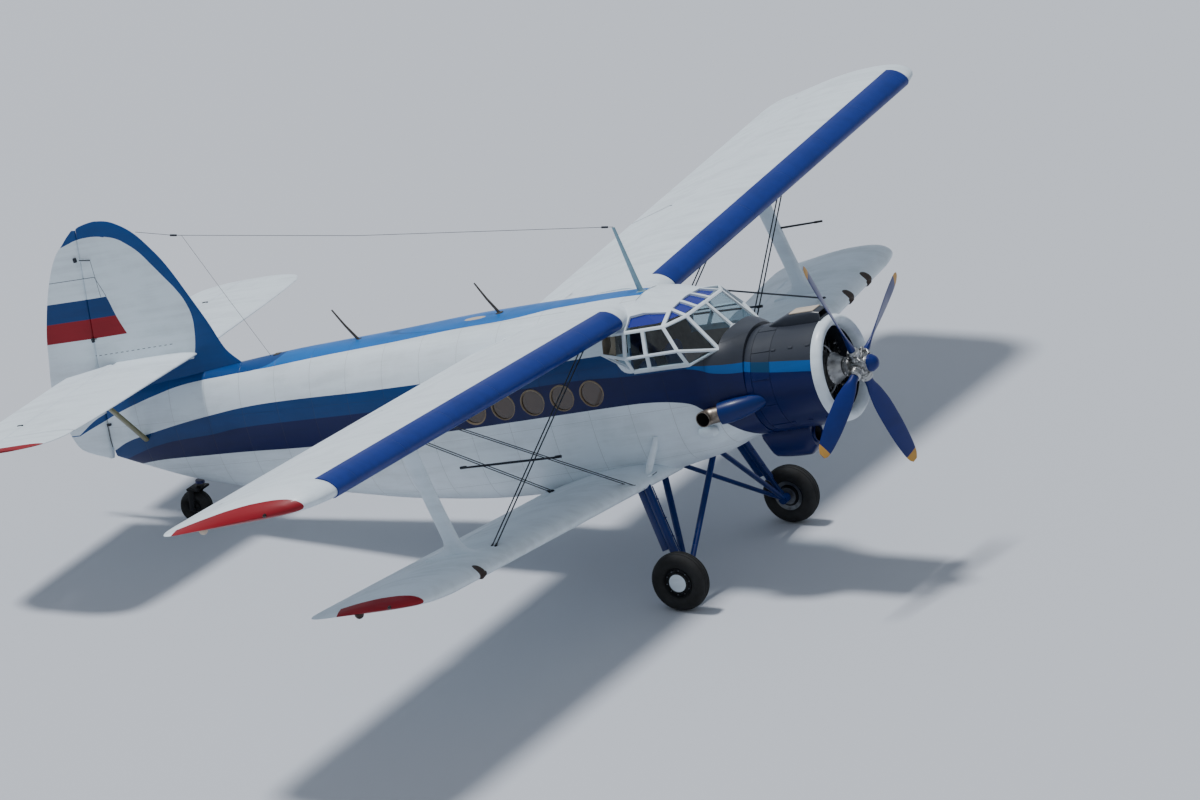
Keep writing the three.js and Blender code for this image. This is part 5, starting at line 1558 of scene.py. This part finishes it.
@dataclass(frozen=True)
class Radial:
    """The nine-cylinder radial engine behind the propeller."""

    count: int = 9
    middle: float = 1840.0

    def crankcase(self) -> Draft:
        """The crankcase, front cover and reduction gear housing with their flanges and bolts.

        Returns:
            The draft.
        """
        profile = [(1195.4, 0.5), (1195.4, 340), (1560, 340), (1600, 300), (1640, 272), (1700, 268),
                   (1710, 282), (1726, 282), (1736, 268), (1950, 268), (1960, 284), (1980, 284), (1992, 262),
                   (2040, 238), (2070, 222), (2150, 205), (2160, 214), (2176, 214), (2190, 196), (2250, 168),
                   (2330, 122), (2340, 128), (2356, 128), (2366, 112), (2420, 105), (2420, 0.5)]
        draft = Draft().turned(profile, 72)
        for ring, x, count in ((276, 1982, 18), (206, 2178, 18), (120, 2358, 12)):
            for a, b in zip(*circle(count, 0.5)):
                draft.bar((x - 6, ring * a, ring * b), (x + 10, ring * a, ring * b), 8, 8, 6)
        return draft

    def cylinder(self) -> Draft:
        """One cylinder standing up from the shaft: a finned barrel, a finned head and rocker boxes.

        Returns:
            The draft.
        """
        turn = placed((0, 0, 0), -90)
        barrel = [(220, 0.5), (220, 96), (236, 96), (240, 70)]
        for z in range(250, 500, 15):
            barrel += [(z, 70), (z + 2, 92), (z + 6, 92), (z + 8, 70)]
        draft = Draft().turned([*barrel, (505, 70), (505, 0.5)], 40, turn=turn)
        head = [(505, 0.5), (505, 104)]
        for z in range(512, 640, 14):
            grow = 112 - (z - 512) * 0.1
            head += [(z, 88), (z + 2, grow), (z + 6, grow), (z + 8, 88)]
        draft.turned([*head, (650, 80), (655, 0.5)], 40, turn=turn)
        for y in (-1, 1):
            draft.block((-28, y * 66 - 30, 596), (96, y * 66 + 30, 676), 12, 1)
            draft.bar((96, y * 66, 634), (106, y * 66, 634), 24, 20, 16, 1)
            draft.tube([(92, y * 60, 610), (124, y * 48, 430), (150, y * 36, 262)], 11, 12, 2)
        for x in (-60, 62):
            draft.bar((x, 0, 600), (x * 1.9, 0, 622), 13, 10, 12, 2)
        return draft

    def build(self) -> None:
        """Makes the engine."""
        piece("crankcase", self.crankcase(), (SILVER,), stands_for=("engine",))
        block = Draft()
        for k in range(self.count):
            block.joined(self.cylinder(), placed((self.middle, 0, 0), 360 * k / self.count, "X"))
        piece("cylinders", block, (FINS, SILVER, STEEL))
        pipes = Draft().tube([(1770, 480 * a, 480 * b) for a, b in zip(*circle(72))], 34, 12)
        pipes.tube([(2000, 330 * a, 330 * b) for a, b in zip(*circle(72))], 16, 10, 1)
        for k in range(self.count):
            t = 2 * math.pi * (k + 0.5) / self.count
            for to in (t - 0.16, t + 0.16):
                bends = ((2000, 330, t), (1985, 450, to), (1925, 600, to))
                pipes.tube([(x, -r * math.sin(a), r * math.cos(a)) for x, r, a in bends], 6, 8, 1)
        piece("ignition_harness", pipes, (SCORCHED, STEEL))


@dataclass(frozen=True)
class Propeller:
    """Four blades in a silver hub under a blue dome."""

    x: float = 2545.0
    phase: float = 24.0
    tip_from: float = 1610.0  # the radius from which the tip is yellow
    # Each row is radius, chord, thickness and pitch in degrees.
    blade: Table = ((130, 118, 118, 50), (300, 122, 100, 48), (480, 190, 56, 42), (790, 262, 36, 33),
                    (1130, 276, 27, 26), (1460, 246, 19, 21), (1670, 178, 13, 18), (1750, 76, 8, 17))

    def turn(self, k: int) -> Matrix:
        """The matrix that stands a blade built along z in its place."""
        return placed((self.x, 0, 0), self.phase + 90 * k - 90, "X")

    def blade_draft(self, k: int) -> Draft:
        """A blade: a round shank that flattens into a cambered, twisted section with a painted tip.

        Args:
            k: Which blade it is.

        Returns:
            The draft.
        """
        rings, sides = [], 40
        c, s = circle(sides)
        radii = np.concatenate([np.linspace(130, 1610, 46), np.linspace(1625, 1742, 10)])
        for r in radii:
            chord, thick, pitch = eased(self.blade, [r])[0]
            sine, cosine = math.sin(math.radians(pitch)), math.cos(math.radians(pitch))
            shank = np.clip((470 - r) / 300, 0, 1)
            form = np.where(s >= 0, s, s * (0.55 + 0.45 * shank)) * (1 - 0.3 * (1 - shank) * (c < 0) * c * c)
            u, v = chord / 2 * c, thick / 2 * form
            rings.append(np.stack([u * sine + v * cosine, v * sine - u * cosine, np.full(sides, r)], 1))
        draft = Draft().loft(rings, turn=self.turn(k))
        for i in range(len(radii) - 1):
            if radii[i] >= self.tip_from:
                draft.marks[i * sides:(i + 1) * sides] = [1] * sides
        return draft

    def build(self) -> None:
        """Makes the blades, hub, clamps and dome."""
        for k in range(4):
            piece(f"blade_{k + 1}", self.blade_draft(k), (BLADE, TIP), "propeller",
                  (f"propeller_blade_{k + 1}",))
        place = placed((self.x, 0, 0))
        barrel = [(-124, 0.5), (-124, 90), (-96, 92), (-92, 118), (-84, 128), (-40, 132), (40, 132),
                  (84, 128), (92, 112), (130, 108), (140, 116), (156, 116), (166, 104), (166, 0.5)]
        hub = Draft().turned(barrel, 64, turn=place)
        socket = [(60, 0.5), (60, 92), (118, 90), (124, 98), (150, 98), (156, 88), (196, 84), (204, 90),
                  (226, 90), (232, 78), (250, 66), (250, 0.5)]
        for k in range(4):
            turn = self.turn(k)
            hub.joined(Draft().turned(socket, 40, turn=placed((0, 0, 0), -90)), turn)
            arm = Draft().tube([(60, -78, 168), (110, -104, 150), (150, -86, 96)], [20, 15, 18], 12)
            for x in (-92, 92):
                arm.bar((x, -40, 140), (x, 40, 140), 15, 15, 12)
            hub.joined(arm.block((20, -150, 150), (64, -84, 196), 12), turn)
        piece("propeller_hub_castings", hub, (HUB_STEEL,), "propeller", ("propeller_hub",))
        dome = [(150, 0.5), (150, 108), (158, 116), (196, 116), (204, 108), (226, 98), (252, 80), (270, 56),
                (281, 28), (285, 0.5)]
        piece("propeller_dome", Draft().turned(dome, 64, turn=place), (BLADE,), "propeller")


# Tailplane rows are place along the span, leading edge, trailing edge and half thickness.
TAIL_PLAN = ((40, -7380, -9410, 64), (600, -7420, -9430, 62), (3150, -7600, -9400, 36),
             (3400, -7720, -9330, 30), (3540, -7930, -9150, 20), (3620, -8230, -8950, 10))
# Fin rows are height, leading edge and half thickness, the fin's top is height and back, and rudder rows are
# height, trailing edge and half thickness.
FIN_PLAN = ((1100, -6500, 60), (1348, -6758, 58), (1547, -6935, 55), (1700, -7000, 53), (1891, -7062, 50),
            (2150, -7165, 45), (2431, -7285, 40), (2700, -7400, 36), (2936, -7520, 32), (3150, -7665, 28),
            (3320, -7797, 25), (3440, -7930, 21), (3521, -8057, 18), (3571, -8160, 14), (3600, -8275, 12),
            (3612, -8385, 9))
FIN_TOP = ((3540, -8727), (3566, -8688), (3588, -8598), (3603, -8508), (3612, -8420))
RUDDER_PLAN = ((290, -9320, 38), (363, -9525, 44), (449, -9694, 50), (614, -9790, 56), (900, -9850, 60),
               (1384, -9892, 60), (1766, -9800, 53), (2037, -9735, 47), (2402, -9610, 41), (2732, -9470, 35),
               (3023, -9315, 30), (3243, -9155, 26), (3360, -9015, 22), (3445, -8920, 18), (3536, -8800, 12))


def leaf(front: float, back: float, half: float, peak: float = 0.42) -> np.ndarray:
    """A thin symmetric section between a round front and a back.

    Args:
        front: The front's place.
        back: The back's place.
        half: Half the thickness.
        peak: The share of the length where it is thickest.

    Returns:
        A closed loop of (x, offset).
    """
    t = 1 - np.cos(np.linspace(0, np.pi / 2, 20))
    x = front + (back - front) * t
    form = np.sqrt(np.clip(1 - (1 - np.clip(t / peak, 0, 1)) ** 2, 0, 1))
    return np.concatenate([np.stack([x, half * form], 1), np.stack([x, -half * form], 1)[::-1][:-1]])


def swung(depth: float, half: float, sag: float) -> list[tuple[float, float]]:
    """A hinged surface's section: a round nose about the hinge and flat sides to a thin edge.

    Args:
        depth: How far the edge lies behind the hinge.
        half: The nose's radius.
        sag: How far the cloth sags between two ribs.

    Returns:
        A closed loop of (distance behind the hinge, offset).
    """
    turn, shares = np.linspace(math.radians(-92), math.radians(92), 11), (0.15, 0.35, 0.6, 0.8, 0.94, 1)
    nose = [(-half * math.cos(t), half * math.sin(t)) for t in turn]
    tail = [(depth * f, half * (1 - f) + 3 * f - sag * math.sin(math.pi * f)) for f in shares]
    return nose + tail + [(a, -b) for a, b in tail[::-1]]


@dataclass(frozen=True)
class Tail:
    """Tailplane, fin, rudder and elevators."""

    hinge: float = -8750.0
    height: float = 1560.0
    rib: float = 250.0

    def sag(self, place: float) -> float:
        """How far the cloth sags at a place along a surface's span."""
        return 2 * math.sin(math.pi * (place % self.rib) / self.rib) ** 0.6

    def plane(self) -> Draft:
        """The tailplane from tip to tip.

        Returns:
            The draft.
        """
        rings = []
        # Both tips come before the middle, so two sheets of the loft lie inside the skin.
        for y in (*range(-3610, -3100, 40), *range(3130, 3620, 40), *range(-3050, 3051, 100)):
            lead, _, half = eased(TAIL_PLAN, [abs(y)])[0]
            back = self.hinge + half + 10
            thin = 1 - self.sag(abs(y)) * (abs(y) < 3200) / max(half, 6)
            rings.append([(x, y, self.height + z * thin) for x, z in leaf(lead, min(back, lead - 5), half)])
        return Draft().loft(rings)

    def elevator(self, side: Side) -> Mesh:
        """One elevator, its inner end cut away beside the rudder.

        Args:
            side: The side that it is on.

        Returns:
            The cut mesh.
        """
        rings = []
        for y in np.concatenate([np.linspace(126, 3150, 46), np.linspace(3200, 3608, 14)]):
            _, trail, half = eased(TAIL_PLAN, [y])[0]
            loop = swung(self.hinge - trail, half * 0.97, self.sag(y) * (y < 3200))
            rings.append([(self.hinge - x, y, self.height + z) for x, z in loop])
        swing = [(-75, 100), (-1000, 100), (-1000, 334), (-75, 144)]
        space = Draft().loft([[(self.hinge + x, y, z) for x, y in swing] for z in (1300, 1800)])
        return cut_mesh(Draft().loft(rings).sided(side).mesh("elevator"), [space.sided(side)])

    def fin(self) -> Draft:
        """The fin up to the rudder's hinge line.

        Returns:
            The draft.
        """
        rings, top = [], FIN_TOP[0][0]
        for z in np.concatenate([np.linspace(1000, 3300, 47), np.linspace(3320, top, 12),
                                 np.linspace(3548, 3611, 14)]):
            lead, half = eased(FIN_PLAN, [z])[0]
            back = eased(FIN_TOP, [z])[0][0] if z > top else rudder_line(z) + half + 12
            rings.append([(x, y, z) for x, y in leaf(lead, back, half, 0.5)])
        return Draft().loft(rings)

    def rudder(self) -> Draft:
        """The rudder, its sections square to its tilted hinge line.

        Returns:
            The draft.
        """
        foot, head = [np.array([x, 0, z]) for x, z in RUDDER_LINE]
        up = (head - foot) / np.linalg.norm(head - foot)
        back = np.array([-up[2], 0, up[0]])
        table = [((p - foot) @ up, (p - foot) @ back, half)
                 for p, half in [(np.array([trail, 0, z]), half) for z, trail, half in RUDDER_PLAN]]
        low, high = table[0][0], table[-1][0]
        rings = []
        for s in np.concatenate([np.linspace(low, low + 300, 10), np.linspace(low + 350, high - 300, 40),
                                 np.linspace(high - 280, high, 10)]):
            depth, half = eased(table, [s])[0]
            rings.append([foot + up * s + back * a + (0, b, 0) for a, b in swung(depth, half, self.sag(s))])
        return Draft().loft(rings)

    def build(self) -> None:
        """Makes the tail surfaces and the struts below them."""
        piece("tailplane_skin", self.plane(), (CLOTH_TAIL,), stands_for=("tailplane",))
        for side in Side:
            word = side.word
            body = f"elevator_{word}"
            piece(f"elevator_skin_{word}", self.elevator(side), (CLOTH_TAIL,), body, (body,))
            strut = struck(((-8530, 120, 470, 100, 44), (-8385, 785, 1030, 100, 44),
                            (-8240, 1450, 1570, 100, 44)))
            piece(f"tail_strut_{word}", strut.sided(side), (OLIVE,),
                  stands_for=(f"tailplane_strut_{word}",))
            z, half = self.height, eased(TAIL_PLAN, [2552])[0][2]
            cap = Draft().block((-8812, 2538, z + half * 0.8), (-8722, 2566, z + half + 7), 5)
            piece(f"elevator_hinge_caps_{word}", cap.sided(side), (WIRE,))
        piece("fin_skin", self.fin(), (FIN_COAT,), stands_for=("fin",))
        piece("rudder_skin", self.rudder(), (FIN_COAT,), "rudder", ("rudder",))
        horn = Draft().block((-8885, -60, 3095), (-8838, -20, 3160), 8)
        piece("rudder_horn", horn, (WIRE,), "rudder")
        rod = Draft().tube([(-8785, -52, 3118), (-8740, -52, 3112), (-8617, -46, 3094)], 8, 10)
        rod.block((-8972, -75, 1950), (-8930, -46, 2010), 6).block((-8950, -75, 1990), (-8880, -60, 2002), 3)
        piece("fin_brackets", rod, (WIRE,))
        post = Draft().tube([(-9128, -74, 771), (-9152, -68, 600), (-9176, -42, 438)], 5, 8)
        post.block((-9128, -100, 755), (-9062, -66, 790), 6)
        piece("tail_post_bracket", post, (WIRE,))


@dataclass(frozen=True)
class TailGear:
    """The tail wheel in its fork under a short leg."""

    x: float = -8154.0
    z: float = -574.0
    radius: float = 235.0
    width: float = 210.0

    def build(self) -> None:
        """Makes the tyre, the wheel, the fork and the leg."""
        lean = placed((self.x, 0, self.z), math.degrees(PARKED_PITCH))
        turn = lean @ placed((0, 0, 0), 90, "Z")
        rubber = tyre(self.radius, self.width, 112, turn, 72)
        piece("tail_tyre", rubber, (RUBBER,), "tail_wheel", ("tail_wheel",))
        side = [(62, 0.5), (62, 34), (56, 42), (46, 60), (48, 92), (60, 100), (66, 112), (50, 114)]
        wheel = Draft().turned(side + [(-x, r) for x, r in side[::-1]], 48, turn=turn)
        piece("tail_wheel_hub", wheel, (BLACK_AND_RIM_SHADE,), "tail_wheel")
        crown = self.radius + 22
        fork = Draft()
        for s in (-1, 1):
            fork.joined(struck(((0, s * 132, -30, 78, 22), (0, s * 132, 120, 84, 22),
                                (10, s * 131, crown + 2, 96, 24), (30, s * 110, crown + 30, 96, 30))))
        fork.block((-58, -148, crown), (155, 148, crown + 34), 14).bar((0, -146, 0), (0, 146, 0), 22, 22, 20)
        fork.bar((95, 0, crown + 30), (95, 0, crown + 60), 58, 58, 32)
        fork = Draft().joined(fork, lean)
        piece("tail_fork_casting", fork, (BLACK_AND_RIM_SHADE,), "tail_fork", ("tail_fork",))
        leg = Draft().bar((95, 0, crown + 64), (95, 0, crown + 420), 56, 50, 32)
        leg.bar((115, 0, crown + 100), (515, 0, crown + 330), 30, 30, 20)
        leg.bar((95, 0, crown + 90), (95, 0, crown + 130), 68, 64, 32)
        shape = cut_mesh(Draft().joined(leg, lean).mesh("leg"), [HULL.tube(-6500, -9000, 4)])
        piece("tail_leg_casting", shape, (NAVY,), stands_for=("tail_leg",))


def dress(node: str, finish: Finish) -> None:
    """Gives a solid that stays in view its finish."""
    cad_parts[node].data.materials.clear()
    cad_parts[node].data.materials.append(material_of(finish))


@dataclass(frozen=True)
class Canopy:
    """The glazed cockpit, its frame, seats, panel and controls."""

    seat_y: float = 380.0
    floor: float = -420.0

    def cushion(self, low: Point, high: Point, crown: float, along: int) -> Draft:
        """A crowned cushion with sewn channels and pulled-in sides.

        Args:
            low: Its lowest corner.
            high: Its highest corner.
            crown: How far it bulges.
            along: The axis that the bulge faces, 0 or 2.

        Returns:
            The cushion.
        """
        low, high = np.array(low, float), np.array(high, float)
        middle, half = (low + high) / 2, (high - low) / 2
        rings, rows, sides = [], 36, 64
        other = 2 - along
        c, s = circle(sides)
        u, w = np.sign(c) * np.abs(c) ** 0.32, np.sign(s) * np.abs(s) ** 0.75
        for i in range(rows + 1):
            v = -math.cos(math.pi * i / rows)
            draw = (1 - abs(v) ** 7) ** 0.5
            channel = 1 - 0.05 * np.cos((v if along == 0 else u) * math.pi * 4) ** 8
            ring = np.zeros((sides, 3))
            ring[:, 1] = middle[1] + half[1] * u * (0.35 + 0.65 * draw)
            bulge = half[along] + crown * (1 - u * u) * (1 - v * v)
            ring[:, along] = middle[along] + bulge * w * draw * channel
            ring[:, other] = middle[other] + half[other] * v
            rings.append(ring)
        return Draft().loft(rings)

    def build(self) -> None:
        """Dresses the canopy and builds what stands below it."""
        dress("canopy_frame", Enamel("white_enamel_on_canopy_frame", Paint.WHITE, roughness=0.4))
        dress("canopy_glass", COCKPIT_PANE)
        for side in Side:
            y, word = side.value * self.seat_y, side.word
            pan = self.cushion((-330, y - 215, -95), (130, y + 215, 30), 22, 2)
            seat = piece(f"seat_cushion_{word}", pan, (COVER,),
                         stands_for=(f"seat_{word}",))
            rest = self.cushion((-400, y - 205, 40), (-300, y + 205, 600), 18, 0)
            back = piece(f"seat_back_{word}", rest, (COVER,))
            base = Draft()
            for dx in (-300, 90):
                for dy in (-170, 170):
                    base.bar((dx, y + dy, self.floor), (dx - 10, y + dy, -88), 16, 16, 12)
            base.block((-345, y - 190, -112), (120, y + 190, -86), 8)
            base.block((-418, y - 190, -100), (-398, y + 190, 560), 8)
            piece(f"seat_frame_{word}", base, (TRIM,))
            column = Draft().tube([(330, y, self.floor), (326, y, -50), (312, y, 300), (300, y, 330)], 22, 14)
            t = np.linspace(math.radians(-210), math.radians(30), 24)
            column.tube([(292, y + 150 * math.cos(a), 345 + 120 * math.sin(a)) for a in t], 13, 12)
            column.bar((300, y, 330), (286, y, 332), 42, 36, 24)
            column.bar((290, y - 140, 300), (290, y + 140, 300), 10, 10, 10)
            piece(f"control_column_{word}", column, (TRIM,),
                  stands_for=("control_columns",) if side is Side.RIGHT else ())
        self.build_panel()

    def build_panel(self) -> None:
        """The instrument panel: a curved board, a padded coaming and rows of round dials."""
        board = [(-680, -260), (-680, 250), (-560, 430), (-330, 520), (0, 548), (330, 520), (560, 430),
                 (680, 250), (680, -260), (260, -300), (240, 40), (-240, 40), (-260, -300)]
        draft = Draft().loft([[(x, y, z) for y, z in board] for x in (668, 690)])
        arc = [math.radians(a) for a in range(-90, 91, 10)]
        draft.tube([(660, 690 * math.sin(a), 250 + 306 * math.cos(a)) for a in arc], 24, 12)
        piece("instrument_board", draft, (TRIM,), stands_for=("instrument_panel",))
        dials = Draft()
        spots = [(y, z, r) for z, r in ((390, 44), (270, 52), (140, 46)) for y in range(-560, 561, 140)
                 if abs(y) < 600 - (z > 350) * 140]
        spots += [(y, 20, 38) for y in range(-600, 601, 120) if abs(y) > 280]
        for y, z, r in spots:
            turn = placed((668, y, z), 180, "Z")
            bezel = [(0, r), (0, r - 8), (14, r - 6), (18, r - 4), (18, r + 2), (12, r + 4), (0, r + 4)]
            dials.turned(bezel, 28, 0, turn, True)
            dials.turned([(2, 0.5), (3, r * 0.8), (1, r)], 28, 1, turn)
            for a in (0.6 + y, 2.4 + y):
                end = (6, r * 0.6 * math.cos(a), r * 0.6 * math.sin(a))
                dials.joined(Draft().bar((6, 0, 0), end, 2.5, 1.5, 6, 2), turn)
        needles = Enamel("white_enamel_on_needles")
        piece("instrument_dials", dials, (STEEL, TRIM, needles))


@dataclass(frozen=True)
class Fittings:
    """Aerials, probes, lights and scoops."""

    mast_top: Point = (-480, 0, 2364)

    def build(self) -> None:
        """Makes the small fittings."""
        mast = faired([(-342, 0, 1425, 104, 42), (-352, 0, 1470, 90, 38), (-480, 0, 2358, 46, 22)])
        mast.block((-404, -46, 1428), (-284, 46, 1446), 6)
        piece("aerial_mast", mast, (Enamel("grey_enamel_on_mast", Paint.MAST_GREY),),
              stands_for=("antenna_mast",))
        for k, (x0, z0, x1, z1) in enumerate(((-4824, 1380, -5110, 1857), (-2553, 1440, -2811, 1911))):
            path = [(x0, 0, z0), ((x0 + x1) / 2 - 12, 0, (z0 + z1) / 2), (x1, 0, z1)]
            whip = Draft().tube(path, [24, 17, 12], 16, flat=0.6)
            whip.bar((x0 - 6, 0, z0 - 20), (x0 - 10, 0, z0 + 20), 70, 52, 24)
            piece(f"whip_aerial_{k + 1}", whip, (WHIP,))
        turn = placed((-2905, -70, 1441), -90) @ Matrix.Diagonal((1, 0.45, 1.2, 1))
        cover = [(-30, 0.5), (-30, 150), (0, 150), (9, 132), (12, 60), (13, 0.5)]
        piece("spine_oval_cover", Draft().turned(cover, 40, turn=turn),
              (Enamel("buff_enamel_on_spine_cover", Paint.BUFF),))
        hatch = Draft().block((-6205, -50, 1352), (-6105, 50, 1378), 8)
        hatch.block((-5912, -225, 1240), (-5846, -188, 1262), 5)
        hatch.block((-6800, -62, 1312), (-6735, -40, 1330), 5)
        piece("spine_fittings", hatch, (WHIP,))
        wire = Draft().tube([self.mast_top, (-4381, 0, 2816), (-7212, 0, 3238), (-7793, 0, 3370)], 3.5, 8)
        for x0, z0, x1, z1 in ((-560, 2373, -650, 2384), (-7165, 3231, -7260, 3246)):
            wire.bar((x0, 0, z0), (x1, 0, z1), 15, 15, 12)
        wire.tube([(-7085, 0, 3217), (-6700, 0, 2330), (-6255, 0, 1340)], 2.5, 8)
        piece("aerial_wire", wire, (WIRE,))
        y = STRUT_Y
        boom = Draft().tube([(-1068, y, 687), (-700, y, 688), (-378, y, 690)], [15, 14, 12], 14)
        boom.bar((-500, y, 689), (-378, y, 690), 17, 15, 16).bar((-1180, y, 1180), (-900, y, 1184), 9, 8, 12)
        piece("air_data_boom", boom, (TRIM,))
        scoop = Draft().tube([(430, -825, -362), (462, -868, -362), (550, -884, -362), (645, -880, -362),
                              (705, -846, -362)], [34, 54, 60, 58, 36], 28, flat=1.3, along=(0, 1, 0))
        piece("side_scoop", scoop, (WHITE,))
        self.build_lights()

    def build_lights(self) -> None:
        """Makes the landing lights in the lower wings' leading edges, and the tips' domes and lamps."""
        upper, lower = upper_wing(Side.LEFT), lower_wing(Side.LEFT)
        well = Enamel("dark_enamel_in_lamp_wells", Paint.WELL_BROWN, roughness=0.3)
        for k, (y, side) in enumerate(LAMPS):
            turn = placed(lower.at(-22, y, 22), -38) @ Matrix.Diagonal((1, 1, 0.8, 1))
            lens = [(-60, 0.5), (-60, 78), (6, 82), (10, 76), (14, 60), (17, 30), (18, 0.5)]
            lamp = Draft().turned(lens, 40, turn=turn)
            piece(f"landing_light_{k + 1}", lamp.sided(side), (well,))
        dome = [(-14, 0.5), (-14, 62), (16, 60), (42, 46), (58, 26), (64, 0.5)]
        for wing, x, y, paint in ((upper, -1720, 8960, Paint.BUFF), (lower, -1150, 7040, Paint.WELL_BROWN)):
            coat = Enamel(f"{paint.name.lower()}_enamel_on_tip_domes", paint)
            turn = placed(wing.at(x, y, -22), 90)
            for side in Side:
                lamp = Draft().turned(dome, 32, turn=turn).sided(side)
                piece(f"{wing.name}_tip_dome_{side.word}", lamp, (coat,))
        for wing, x in ((upper, -700), (lower, -640)):
            turn = placed(wing.at(x, wing.plan[-1][0] - 26, 12), 90, "Z")
            for side in Side:
                lamp = Draft().turned([(-40, 0.5), (-40, 26), (18, 26), (34, 18), (40, 0.5)], 24, turn=turn)
                piece(f"{wing.name}_tip_light_{side.word}", lamp.sided(side), (LENS,))


@dataclass(frozen=True)
class Studio:
    """The pale floor, the soft light and the camera at the photograph's angle."""

    place: Point = (59838.56, -98802.45, 26930.74)
    aim: Point = (-1439.51, 0, 51.57)
    right: Point = (0.84837132, 0.45053815, -0.27799545)  # the picture's right, which sets the camera's roll
    lens: float = 269.10
    floor_half: float = 420.0  # metres

    def lamp(self, name: str, towards: Point, energy: float, angle: float) -> None:
        """A soft, far light.

        Args:
            name: Its name.
            towards: The direction that it shines along.
            energy: Its strength.
            angle: How wide it looks from the aircraft, in degrees.
        """
        data = bpy.data.lights.new(name, "SUN")
        data.energy, data.angle = energy, math.radians(angle)
        made = bpy.data.objects.new(name, data)
        made.rotation_mode = "QUATERNION"
        made.rotation_quaternion = Vector(towards).to_track_quat("-Z", "Y")
        bpy.context.scene.collection.objects.link(made)

    def build(self) -> None:
        """Sets up the floor, light and camera."""
        h = self.floor_half
        mesh = bpy.data.meshes.new("floor")
        mesh.from_pydata([(-h, -h, 0), (h, -h, 0), (h, h, 0), (-h, h, 0)], [], [(0, 1, 2, 3)])
        mesh.materials.append(material_of(StudioFloor("matt_studio_floor")))
        floor = bpy.data.objects.new("floor", mesh)
        bpy.context.scene.collection.objects.link(floor)
        world = bpy.data.worlds.new("studio")
        bpy.context.scene.world = world
        world.use_nodes = True
        world.node_tree.nodes.clear()
        sky = add(world.node_tree, "Background", linear("#e4edf8"), 0.48)
        add(world.node_tree, "OutputWorld", sky)
        self.lamp("key", (0.318, 0.02, -0.948), 3.2, 8)
        self.lamp("fill", (-0.5, 0.8, -0.3), 0.12, 60)
        turn = PARKED.to_3x3().normalized()
        place = PARKED @ Vector(self.place)
        ahead = (PARKED @ Vector(self.aim) - place).normalized()
        right = (turn @ Vector(self.right)).normalized()
        up = right.cross(ahead).normalized()
        data = bpy.data.cameras.new("camera")
        data.lens, data.sensor_width, data.clip_end = self.lens, 36.0, 2000.0
        camera = bpy.data.objects.new("camera", data)
        basis = Matrix((right, up, -ahead)).transposed().to_4x4()
        camera.matrix_world = Matrix.Translation(place) @ basis
        bpy.context.scene.collection.objects.link(camera)
        bpy.context.scene.camera = camera


def main() -> None:
    """Builds the aircraft, sub-assembly by sub-assembly, and the studio round it."""
    logging.basicConfig(level=logging.INFO, format="%(name)s: %(message)s")
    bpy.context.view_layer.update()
    Fuselage().build()
    Canopy().build()
    Nose().build()
    Radial().build()
    Propeller().build()
    for side in Side:
        upper_wing(side).build()
        lower_wing(side).build()
        Slat(side).build()
        Bracing(side).build()
        MainGear(side).build()
    Tail().build()
    TailGear().build()
    Fittings().build()
    Studio().build()


if __name__ == "__main__":
    main()
